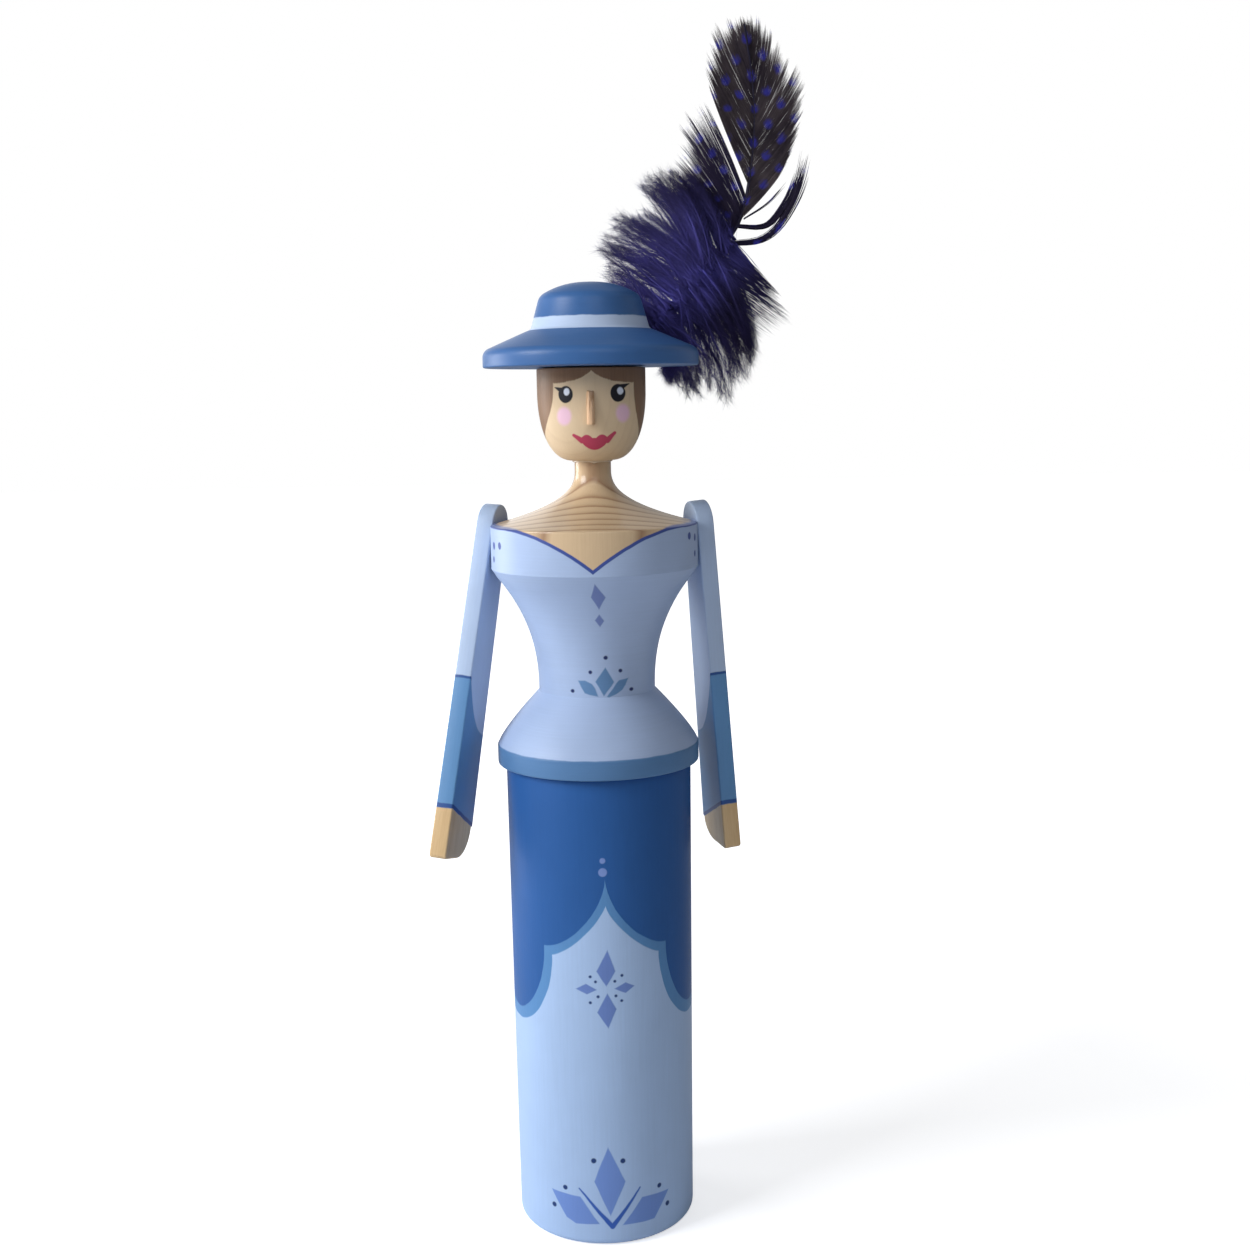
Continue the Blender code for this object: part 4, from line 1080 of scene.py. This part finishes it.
for side, label in ((-1, "left"), (1, "right")):
    place, across, up, out = shoulder_axes(side)
    swung = Matrix.Rotation(-side * ARM_SWINGS[side], 3, out)
    front = swung @ (across * -side)
    arm_up = swung @ up
    arm = saw_arm(label + "_arm_sawn", place, front, arm_up, out, CUFF_DROPS[side])
    stands_for(arm, label + "_arm", label + "_arm",
               arm_finish(label + "_sleeve_paint", place, front, arm_up, out, side))


# Arm screws and washers: low slotted brass screws, each over a thin brass washer, sunk in the arms.
# The metal is plain, rubbed along the slot and a little tarnished.
BRASS = paint(214, 184, 116)
BRASS_DULL = paint(150, 120, 70)
RUBS_ACROSS = 6.0
RUBS_ALONG = 0.8


def brass_finish(name):
    finish = Finish(name, {"Metallic": 1.0})
    tarnish = (finish.noise(0.7, 3.0, 0.6) * 1.4 + 0.4).held()
    rubs = finish.streaks(finish.x * RUBS_ACROSS, finish.y * RUBS_ALONG, finish.z * RUBS_ACROSS, 2.0)
    colour = finish.flat(BRASS).under(BRASS_DULL, tarnish)
    return finish.drawn(colour, 0.30 + tarnish * 0.15 + rubs * 0.12, rubs * 0.01)


for label in ("left", "right"):
    for fitting in ("screw", "washer"):
        coat_with(frame["nodes"][f"{label}_arm_{fitting}"], brass_finish(f"{label}_{fitting}_brass"))


# Feather shaft: the quill of a dyed fowl feather, pushed and glued in the hat's slanting hole.
# It is dark at its foot and thins to a hair at the tip.
QUILL_DARK = paint(20, 18, 38)
QUILL_PALE = paint(36, 32, 54)
quill = Finish("feather_quill_dyed", {"Specular IOR Level": 0.2})
quill_streaks = quill.streaks(quill.x * 4.0, quill.y * 4.0, quill.z * 0.3)
quill_colour = quill.flat(QUILL_DARK).under(QUILL_PALE, (quill_streaks + 0.4).held())
quill.drawn(quill_colour, 0.60 + quill_streaks * 0.2, quill_streaks * 0.02)
coat_with(frame["nodes"]["feather_shaft"], quill)
SHAFT_RADIUS = 0.0008
SHAFT_TIP_RADIUS = 0.00025


def curve_sides(points, share):
    """A curve's direction at a share of it, and the way to the right of it as seen from the front."""
    along = curve_point(points, share + CURVE_STEP) - curve_point(points, share - CURVE_STEP)
    along.normalize()
    return along, Vector((along.z, 0.0, -along.x)).normalized()


def shaft_frame(share):
    """A point of the shaft, its direction, its right-hand side and its radius there."""
    along, right = curve_sides(SHAFT_POINTS, share)
    radius = SHAFT_RADIUS + (SHAFT_TIP_RADIUS - SHAFT_RADIUS) * share
    return curve_point(SHAFT_POINTS, share), along, right, radius


# Feather vanes: the blade's barbs, fine dyed strips that leave the shaft side by side at a narrow angle and
# fray at the edge. They are dark and let some light through, with rows of bright blue spots along the shaft.
FEATHER_SEED = 41
FEATHER_BACK = 0.0185
EDGE_STATIONS = 160
BARB_STEPS = 9
ROOT_PLACE = 0.8
LOOSEST_HOLD = 0.3
BOW_MIX = 0.4
draw = np.random.default_rng(FEATHER_SEED)


def tips_at(places, back=FEATHER_BACK):
    """Ends of barbs behind the hat, from their places to the right and up in millimetres."""
    return [Vector((right * MM, back, up * MM)) for right, up in places]


def side_by_side(tips, count):
    """How far along the feather's edge each of so many barbs ends, all at about the same distance."""
    stations = np.linspace(0.0, 1.0, EDGE_STATIONS)
    edge = np.array([curve_point(tips, station) for station in stations])
    run = np.append(0.0, np.cumsum(np.linalg.norm(np.diff(edge, axis=0), axis=1)))
    return np.interp((np.arange(count) + draw.random(count)) * (run[-1] / count), run, stations)


def lay_barbs(side, roots, tips, count, tufts, gather, fray, depth, late, cover, lift=0.0, bulge=0.0,
              mix=0.0):
    """Centre lines of barbs from the shaft to the feather's edge, where they gather in uneven tufts.

    lift and bulge bow the barbs up the shaft and away from it, late keeps the gathering to their ends,
    cover lets roots lie in front of the shaft, and mix lets the barbs cross one another.
    """
    middles = np.sort(draw.random(tufts))
    holds = gather * (LOOSEST_HOLD + draw.random(tufts))
    ends = 1.0 - fray * draw.random(tufts)
    depths = draw.normal(0.0, depth, tufts)
    paths = []
    for share in side_by_side(tips, count):
        tuft = int(np.argmin(abs(middles - share)))
        foot = min(max(share + draw.normal(0.0, mix), 0.0), 1.0)
        point, along, right, radius = shaft_frame(roots[0] + (roots[1] - roots[0]) * foot)
        root = point + right * (side * radius * (ROOT_PLACE - cover * draw.random()))
        root.y -= cover * radius * draw.random()
        tip = curve_point(tips, share)
        pull = (curve_point(tips, middles[tuft]) - tip) * holds[tuft]
        reach = (tip - root).length
        bow = lift + draw.normal(0.0, mix * BOW_MIX)
        elbow = (root + tip) / 2.0 + along * (reach * bow) + right * (side * reach * bulge)
        curl = draw.normal(0.0, depth)
        end = ends[tuft] * (1.0 - fray * draw.random() ** 2)
        path = []
        for step in range(BARB_STEPS):
            run = end * step / (BARB_STEPS - 1)
            place = root * (1.0 - run) ** 2 + elbow * 2.0 * run * (1.0 - run) + tip * run ** 2
            place += pull * run ** late
            place.y += depths[tuft] * run + curl * math.sin(math.pi * run)
            path.append(place)
        paths.append(path)
    return np.array(paths)


# The narrowest barb's share of the width, and how much wider chance can make the others
BARB_WIDTHS = (0.7, 0.6)


def tapered(paths, width, full=0.6, tip=0.10):
    """Widths along each barb: full near the shaft, then thinning to its tip."""
    count, steps, _ = paths.shape
    run = np.linspace(0.0, 1.0, steps)
    share = np.where(run < full, 1.0, 1.0 - (1.0 - tip) * ((run - full) / (1.0 - full)))
    chance = BARB_WIDTHS[0] + BARB_WIDTHS[1] * draw.random(count)
    return width * share[None, :] * chance[:, None]


SHAFT_STATIONS = 120
shaft_line = np.array([curve_point(SHAFT_POINTS, station / SHAFT_STATIONS)
                       for station in range(SHAFT_STATIONS + 1)])[:, [0, 2]]
shaft_steps = np.gradient(shaft_line, axis=0)
shaft_lengths = np.linalg.norm(shaft_steps, axis=1)
shaft_run = np.cumsum(shaft_lengths)


def place_on_shaft(points):
    """How far up the shaft each point lies, and how far to the right of it, in millimetres."""
    flat = points[:, [0, 2]]
    away = np.linalg.norm(flat[:, None, :] - shaft_line[None], axis=2)
    nearest = np.argmin(away, axis=1)
    ahead = shaft_steps[nearest] / shaft_lengths[nearest][:, None]
    offset = flat - shaft_line[nearest]
    up = shaft_run[nearest] + np.sum(offset * ahead, axis=1)
    right = offset[:, 0] * ahead[:, 1] - offset[:, 1] * ahead[:, 0]
    return up / MM, right / MM


BACKWARDS = np.array((0.0, 1.0, 0.0))
LEAST_SIDE = 0.05


def unit(ways, least=1e-9):
    """Directions made one long; those shorter than a least length stay short."""
    return ways / np.maximum(np.linalg.norm(ways, axis=-1, keepdims=True), least)


def add_strands(name, paths, widths, flat=0.45):
    """Closed three-sided strands along paths, each drawn out to a point, with their tones and places."""
    count, steps, _ = paths.shape
    run = unit(np.gradient(paths, axis=1))
    side = unit(np.cross(run, BACKWARDS), LEAST_SIDE)
    back = np.cross(run, side)
    rings = []
    for corner in range(3):
        angle = math.tau * corner / 3
        aside = side * math.cos(angle) + back * (flat * math.sin(angle))
        rings.append((paths + aside * widths[..., None])[:, :-1])
    stems = np.stack(rings, axis=2).reshape(count, -1, 3)
    points = np.concatenate([stems, paths[:, -1:]], axis=1).reshape(-1, 3)
    faces = [(2, 1, 0)]
    for step in range(steps - 2):
        for corner in range(3):
            near, far = 3 * step + corner, 3 * step + (corner + 1) % 3
            faces += [(near, far, far + 3), (near, far + 3, near + 3)]
    point = 3 * (steps - 1)
    faces += [(point - 3 + corner, point - 3 + (corner + 1) % 3, point) for corner in range(3)]
    own = point + 1
    every = (np.array(faces)[None] + (np.arange(count) * own)[:, None, None]).reshape(-1, 3)
    mesh = bpy.data.meshes.new(name)
    mesh.vertices.add(len(points))
    mesh.vertices.foreach_set("co", points.astype(np.float32).ravel())
    mesh.loops.add(every.size)
    mesh.loops.foreach_set("vertex_index", every.astype(np.int32).ravel())
    mesh.polygons.add(len(every))
    mesh.polygons.foreach_set("loop_start", np.arange(0, every.size, 3, dtype=np.int32))
    mesh.update(calc_edges=True)
    mesh.shade_smooth()
    up, right = place_on_shaft(points)
    values = {
        "barb_tone": np.repeat(draw.random(count), own),
        "barb_reach": np.tile(np.append(np.repeat(np.linspace(0.0, 1.0, steps)[:-1], 3), 1.0), count),
        "up_shaft": up,
        "from_shaft": right,
    }
    for label, value in values.items():
        attribute = mesh.attributes.new(label, "FLOAT", "POINT")
        attribute.data.foreach_set("value", value.astype(np.float32))
    piece = bpy.data.objects.new(name, mesh)
    bpy.context.scene.collection.objects.link(piece)
    return piece


SPOT_ACROSS = 3.7
SPOT_ALONG = 8.6
SPOT_HALF = (1.00, 0.95)
SPOT_STAGGER = 0.46
SPOT_DRIFT = (0.05, 0.7)
SPOT_SLIP = 0.12
SPOT_FRAY = (0.4, 1.3)
SPOT_SCATTER = 0.7
SPOT_EDGE = 0.8
SPOT_COVER = 0.9
# What makes barbs paler: each one's tone, clouds to a millimetre with their strength, and the way to its tip
MOTTLE_TONES = 0.3
MOTTLE_CLOUDS = (0.12, 1.2)
MOTTLE_REACH = 0.25
BLADE_DARK = paint(48, 42, 52)
BLADE_PALE = paint(104, 94, 96)
BLADE_INDIGO = paint(38, 34, 62)
BLADE_DUSK = paint(66, 58, 78)
SPOT_BLUE = paint(62, 62, 166)


def blade_finish(name, dark, pale):
    """Dyed barbs: a dark tone that differs from barb to barb, and staggered rows of blue spots."""
    finish = Finish(name, {"Specular IOR Level": 0.08})
    tone = finish.known("barb_tone")
    across = finish.known("from_shaft") / SPOT_ACROSS + 0.5
    row = across.math("FLOOR", across)
    along = finish.unsteady(finish.known("up_shaft") / SPOT_ALONG + row * SPOT_STAGGER, *SPOT_DRIFT)
    along = along + tone * SPOT_SLIP
    off_across = (across.fraction() - 0.5) * (SPOT_ACROSS / SPOT_HALF[0])
    off_along = (along.fraction() - 0.5) * (SPOT_ALONG / SPOT_HALF[1])
    away = finish.unsteady((off_across ** 2.0 + off_along ** 2.0).root() - 1.0, *SPOT_FRAY)
    spots = (away + (tone - 0.5) * SPOT_SCATTER).inside(SPOT_EDGE)
    mottle = finish.unsteady(tone * MOTTLE_TONES, *MOTTLE_CLOUDS) + finish.known("barb_reach") * MOTTLE_REACH
    colour = finish.flat(dark).under(pale, mottle.held()).under(SPOT_BLUE, spots * SPOT_COVER)
    return finish.drawn(colour, 0.70 + tone * 0.15)


BARB_WIDTH = 0.000042
TIP_BACK = 0.0170
# Ends of each vane's barbs, from the lowest on the shaft to the highest: right and up in millimetres
TIP_LEFT = tips_at([(32.6, 313.6), (31.8, 319.0), (32.6, 325.0), (34.0, 329.0), (36.6, 330.6), (39.4, 330.6),
                    (42.6, 331.4)], TIP_BACK)
TIP_RIGHT = tips_at([(54.6, 291.6), (58.2, 301.8), (60.0, 312.2), (56.2, 319.4), (51.4, 325.8), (48.6, 329.6),
                     (46.0, 331.0), (42.0, 331.4)], TIP_BACK)
MIDDLE_VANE = tips_at([(15.6, 287.0), (19.0, 292.0), (22.6, 295.0), (24.4, 300.4), (25.4, 306.4),
                       (28.2, 309.6), (31.8, 309.8)])
TIP_LIE = {"gather": 0.3, "fray": 0.18, "depth": 0.0001, "late": 7.0, "cover": 1.0}
MIDDLE_LIE = {"gather": 0.35, "fray": 0.24, "depth": 0.0001, "late": 6.0, "cover": 1.0}


def add_vane(name, node, paths, dark, pale, width=BARB_WIDTH, full=0.75):
    vane = add_strands(name, paths, tapered(paths, width, full, 0.2))
    stands_for(vane, node, "figure", blade_finish(name + "_dye", dark, pale))


add_vane("feather_tip_left_barbs", "feather_tip_left",
         lay_barbs(-1, (0.485, 0.90), TIP_LEFT, 1000, 60, **TIP_LIE, bulge=0.02),
         BLADE_DARK, BLADE_PALE)
add_vane("feather_tip_right_barbs", "feather_tip_right",
         lay_barbs(1, (0.40, 0.90), TIP_RIGHT, 1650, 70, **TIP_LIE, bulge=0.07),
         BLADE_DARK, BLADE_PALE)
add_vane("feather_middle_barbs", "feather_middle_vane",
         lay_barbs(-1, (0.31, 0.455), MIDDLE_VANE, 900, 60, **MIDDLE_LIE, lift=0.06),
         BLADE_INDIGO, BLADE_DUSK)

# The wisp: loose bundles of barbs that bend out to the right and up, beside the blade
WISP_OUTER = [(38.5, 270.7), (46.6, 271.4), (51.6, 274.6), (55.8, 281.0), (58.3, 287.3), (60.2, 295.4)]
WISP_INNER = [(41.0, 275.4), (46.6, 275.0), (50.2, 276.4), (54.4, 281.7), (56.9, 286.9), (59.4, 294.4)]
WISP_HAIRS = [(42.6, 277.2), (49.5, 281.4), (55.1, 287.3)]
WISP_WIDTH = 0.00012
WISP_STEPS = 16


def lay_wisp(places, count, spread, shortest):
    """Centre lines of strands that run side by side along one bent bundle and end one after another."""
    line = tips_at(places)
    paths = []
    for _ in range(count):
        aside, away = draw.normal(0.0, spread, 2)
        end = shortest + (1.0 - shortest) * draw.random()
        path = []
        for step in range(WISP_STEPS):
            run = end * step / (WISP_STEPS - 1)
            _, right = curve_sides(line, run)
            place = curve_point(line, run) + right * (aside * (0.5 + run))
            place.y += away
            path.append(place)
        paths.append(path)
    return np.array(paths)


wisp_lines = [lay_wisp(WISP_OUTER, 46, 0.00075, 0.76), lay_wisp(WISP_INNER, 34, 0.00060, 0.72),
              lay_wisp(WISP_HAIRS, 5, 0.00025, 0.70)]
add_vane("feather_wisp_barbs", "feather_wisp", np.concatenate(wisp_lines), BLADE_INDIGO, BLADE_DARK,
         WISP_WIDTH, 0.8)


# Feather down: soft plumes at the feather's foot, left of the shaft and hanging over the brim on its right.
# Each plume is a thin barb with loose hairs, dyed indigo, brightest near the shaft.
DOWN_HAIR = 0.000036
DOWN_CORE = 0.00018
DOWN_MAT = 0.00055
BARE_BARB = 0.00008
MAT_BACK = 0.0015
MAT_SHARE = 0.66
HAT_ROOM = 0.0004
HAIRS_PER_PLUME = 180
HAIR_LENGTHS = (0.0024, 0.0062)
HAIR_SPREAD = 0.16
HAIR_CROWDING = 0.8
# The least slant of a hair and what chance adds to it, then how much less hairs slant and reach at the tip
HAIR_SLANTS = (0.35, 0.70)
HAIR_CLOSING = 0.35
HAIR_SHORTENING = 0.45


def clear_of_hat(points):
    """Move points that lie in the hat out of it, up or sideways, whichever is nearer."""
    flat = points.reshape(-1, 3)
    reach = np.hypot(flat[:, 0], flat[:, 1])
    inward = np.clip((BRIM_RADIUS - reach) / (BRIM_RADIUS - CROWN_FOOT_RADIUS), 0.0, 1.0)
    slope = edge_top + BRIM_RISE * inward
    top = np.where(reach < CROWN_FOOT_RADIUS, crown_top + DOME_HEIGHT, slope) + HAT_ROOM
    side = np.where(flat[:, 2] > crown_level, CROWN_FOOT_RADIUS, BRIM_RADIUS) + HAT_ROOM
    within = (reach < side) & (flat[:, 2] < top) & (flat[:, 2] > brim_level - HAT_ROOM)
    raised = within & (top - flat[:, 2] <= side - reach)
    moved = within & ~raised
    flat[raised, 2] = top[raised]
    flat[moved, 0] *= side[moved] / reach[moved]
    flat[moved, 1] *= side[moved] / reach[moved]
    return flat.reshape(points.shape)


def lay_hairs(paths, per_barb):
    """Centre lines of the hairs along each plume, leaving it to both sides and slanting to its tip."""
    plumes, steps, _ = paths.shape
    count = plumes * per_barb
    plume = np.repeat(np.arange(plumes), per_barb)
    number = np.tile(np.arange(per_barb), plumes)
    share = ((number + draw.random(count)) / per_barb) ** HAIR_CROWDING
    first = np.minimum((share * (steps - 1)).astype(int), steps - 2)
    ahead = paths[plume, first + 1] - paths[plume, first]
    start = paths[plume, first] + ahead * (share * (steps - 1) - first)[:, None]
    ahead = unit(ahead)
    across = unit(np.cross(ahead, BACKWARDS), LEAST_SIDE)
    slant = np.where(number % 2, 1.0, -1.0) * (HAIR_SLANTS[0] + HAIR_SLANTS[1] * draw.random(count))
    slant *= 1.0 - HAIR_CLOSING * share
    out = ahead + across * slant[:, None] + draw.normal(0.0, HAIR_SPREAD, (count, 3))
    shortest, longest = HAIR_LENGTHS
    length = (shortest + (longest - shortest) * draw.random(count)) * (1.0 - HAIR_SHORTENING * share)
    out *= (length / np.linalg.norm(out, axis=1))[:, None]
    return np.stack([start, start + out], axis=1)


FLUFF_NEAR = paint(94, 90, 180)
FLUFF_FAR = paint(62, 58, 106)
FLUFF_DARK = paint(42, 38, 72)
FLUFF_COVER = 0.8
FLUFF_REACH = 30.0
FLUFF_CLOUDS = (0.10, 1.4)
# Where the down turns dark, in millimetres, each as a start and a run: high up, and among the bare barbs
FLUFF_TOP = (27.0, 18.0)
BARBS_RIGHT = (5.0, 8.0)
BARBS_UP = (9.0, 8.0)


def fluff_finish(name):
    finish = Finish(name, {"Specular IOR Level": 0.08})
    tone = finish.known("barb_tone")
    right = finish.known("from_shaft")
    up = finish.known("up_shaft")
    far = (finish.unsteady(tone * 0.5, *FLUFF_CLOUDS) + abs(right) / FLUFF_REACH).held()
    dark = up.ramp(*FLUFF_TOP).most(right.ramp(*BARBS_RIGHT) * up.ramp(*BARBS_UP))
    colour = finish.flat(FLUFF_NEAR).under(FLUFF_FAR, far).under(FLUFF_DARK, dark * FLUFF_COVER)
    return finish.drawn(colour, 0.75 + tone * 0.1)


def shortened(paths, share):
    """The same number of points along the lower share of each path."""
    steps = paths.shape[1]
    places = np.linspace(0.0, share * (steps - 1), steps)
    first = np.minimum(places.astype(int), steps - 2)
    part = (places - first)[None, :, None]
    return paths[:, first] * (1.0 - part) + paths[:, first + 1] * part


def grow_down(name, node, plumes, bare=None):
    """One tuft of down: its plumes with their hairs over a dense mat, and any bare barbs among them."""
    cores = clear_of_hat(plumes)
    hairs = clear_of_hat(lay_hairs(cores, HAIRS_PER_PLUME))
    widths = tapered(cores, DOWN_CORE, 0.45, 0.08)
    mats = clear_of_hat(shortened(plumes, MAT_SHARE) + np.array((0.0, MAT_BACK, 0.0)))
    cores = np.concatenate([cores, mats])
    widths = np.concatenate([widths, tapered(mats, DOWN_MAT, 0.35, 0.05)])
    if bare is not None:
        cores = np.concatenate([cores, clear_of_hat(bare)])
        widths = np.concatenate([widths, tapered(bare, BARE_BARB)])
    down = add_strands(name, cores, widths, 0.8)
    fluff = add_strands(name + "_hairs", hairs, tapered(hairs, DOWN_HAIR, 0.3, 0.8), 1.0)
    pick(down)
    fluff.select_set(True)
    bpy.ops.object.join()
    stands_for(down, node, "figure", fluff_finish(name + "_dye"))


# Ends of the plumes, from the foot of the shaft upwards: the low and the high tuft on the left, then the soft
# tuft under the brim and the bare barbs above it on the right
LEFT_LOW = tips_at([(8.0, 254.0), (2.0, 260.0), (-0.4, 264.5), (-0.6, 269.5), (0.6, 274.4), (5.0, 278.8),
                    (11.0, 283.4)], 0.0195)
LEFT_HIGH = tips_at([(13.6, 285.6), (17.4, 291.0), (21.6, 292.0), (25.0, 291.6)], 0.0190)
RIGHT_LOW = tips_at([(20.6, 237.6), (22.0, 232.0), (27.0, 228.0), (32.0, 225.4), (36.0, 225.4), (40.4, 227.6),
                     (43.4, 229.8), (46.0, 232.4), (44.8, 238.8)], 0.0220)
RIGHT_BARE = tips_at([(44.0, 236.6), (50.0, 239.8), (55.8, 243.0), (58.8, 248.0), (53.6, 256.0),
                      (45.6, 263.0)], 0.0205)
BARE_LIE = {"gather": 0.6, "fray": 0.22, "depth": 0.0008, "late": 2.6, "cover": 2.5, "mix": 0.05}
SOFT_LIE = {"gather": 0.36, "fray": 0.24, "depth": 0.0014, "late": 1.6, "cover": 5.0, "mix": 0.22}
left_low = lay_barbs(-1, (0.0, 0.22), LEFT_LOW, 150, 14, **SOFT_LIE, lift=0.13)
left_high = lay_barbs(-1, (0.20, 0.34), LEFT_HIGH, 76, 8, **SOFT_LIE, lift=0.10)
right_low = lay_barbs(1, (0.0, 0.27), RIGHT_LOW, 180, 18, **SOFT_LIE, lift=0.16, bulge=0.05)
right_bare = lay_barbs(1, (0.10, 0.335), RIGHT_BARE, 560, 26, **BARE_LIE, lift=0.02, bulge=0.05)
grow_down("feather_left_plumes", "feather_left_down", np.concatenate([left_low, left_high]))
grow_down("feather_right_plumes", "feather_right_down", right_low, right_bare)


# Studio: the camera stands where the photograph was taken from, over a plain pale floor.
# Two soft lamps at the left, one of them a little behind, do most of the lighting; weak ones fill the rest.
CAMERA_PLACE = (0.00793, -0.4289, 0.2286)
CAMERA_DIP = math.radians(8.086)
CAMERA_ROLL = math.radians(-0.994)
LENS_PIXELS = 1584.9
FRAME_PIXELS = 1250.0
SENSOR = 36.0
CLIP_RANGE = (0.01, 50.0)
lens = bpy.data.cameras.new("photo_view")
lens.sensor_width = SENSOR
lens.lens = SENSOR * LENS_PIXELS / FRAME_PIXELS
lens.clip_start, lens.clip_end = CLIP_RANGE
camera = bpy.data.objects.new("photo_view", lens)
bpy.context.scene.collection.objects.link(camera)
camera.matrix_world = (Matrix.Translation(CAMERA_PLACE) @ Matrix.Rotation(math.pi / 2.0 - CAMERA_DIP, 4, "X")
                       @ Matrix.Rotation(CAMERA_ROLL, 4, "Z"))
bpy.context.scene.camera = camera

DOLL_MIDDLE = Vector((0.0, 0.0, 0.16))
LAMPS = [
    ("left_window", (-0.88, -0.43, 0.66), 0.55, 10.5),
    ("left_back", (-1.00, 0.46, 0.24), 0.50, 5.0),
    ("front_fill", (0.14, -0.90, 0.80), 0.60, 1.7),
    ("back_soft", (-0.30, 1.00, 0.50), 0.60, 1.0),
]
for name, stand, size, power in LAMPS:
    light = bpy.data.lights.new(name, "AREA")
    light.size = size
    light.energy = power
    lamp = bpy.data.objects.new(name, light)
    bpy.context.scene.collection.objects.link(lamp)
    lamp.location = stand
    lamp.rotation_mode = "QUATERNION"
    lamp.rotation_quaternion = (DOLL_MIDDLE - Vector(stand)).to_track_quat("-Z", "Y")

FLOOR_SIZE = 8.0
FLOOR_GAP = 0.0002
FLOOR_PALE = paint(236, 238, 242)
FLOOR_DULLNESS = 0.9
FLOOR_LIFT = 0.62
SHADOW_REACH = (0.20, 0.60)
bpy.ops.object.select_all(action="DESELECT")
bpy.ops.mesh.primitive_plane_add(size=FLOOR_SIZE, location=(0.0, 0.0, -FLOOR_GAP))
floor = bpy.context.object
floor.name = "studio_floor"
floor_paint = bpy.data.materials.new("studio_floor_pale")
floor_paint.use_nodes = True
floor_tree = floor_paint.node_tree
floor_shader = floor_tree.nodes["Principled BSDF"]
floor_shader.inputs["Base Color"].default_value = FLOOR_PALE
floor_shader.inputs["Roughness"].default_value = FLOOR_DULLNESS
seen = Tone(floor_tree).node("LightPath", {}, {}, "Is Camera Ray")
on_floor = seen.node("TexCoord", {}, {}, "Object")
away = on_floor.node("VectorMath", {"operation": "LENGTH"}, {0: on_floor}, "Value")
past_shadow = away.ramp(SHADOW_REACH[0], SHADOW_REACH[1] - SHADOW_REACH[0])
paler = past_shadow * (1.0 - FLOOR_LIFT) + FLOOR_LIFT
glow = seen.node("Emission", {}, {"Color": paler, "Strength": 1.0})
no_glow = seen.node("Emission", {}, {"Color": (0.0, 0.0, 0.0, 1.0), "Strength": 0.0})
lift = seen.node("MixShader", {}, {0: seen, 1: no_glow, 2: glow})
both = seen.node("AddShader", {}, {0: Tone(floor_tree, floor_shader.outputs[0]), 1: lift})
floor_tree.links.new(both.socket, floor_tree.nodes["Material Output"].inputs["Surface"])
floor.data.materials.append(floor_paint)

WORLD_LEVEL = 0.14
GLOSS_SHARE = 0.3
world = bpy.data.worlds.new("studio_world")
bpy.context.scene.world = world
world.use_nodes = True
world_tree = world.node_tree
backdrop = world_tree.nodes["Background"]
camera_ray = Tone(world_tree).node("LightPath", {}, {}, "Is Camera Ray")
glossy_ray = Tone(world_tree, camera_ray.socket.node.outputs["Is Glossy Ray"])
clear_ray = Tone(world_tree, camera_ray.socket.node.outputs["Is Transmission Ray"])
straight = camera_ray.most(glossy_ray * GLOSS_SHARE).most(clear_ray)
strength = straight * (1.0 - WORLD_LEVEL) + WORLD_LEVEL
world_tree.links.new(strength.socket, backdrop.inputs["Strength"])
backdrop.inputs["Color"].default_value = (1.0, 1.0, 1.0, 1.0)

bpy.context.scene.view_settings.view_transform = "Standard"
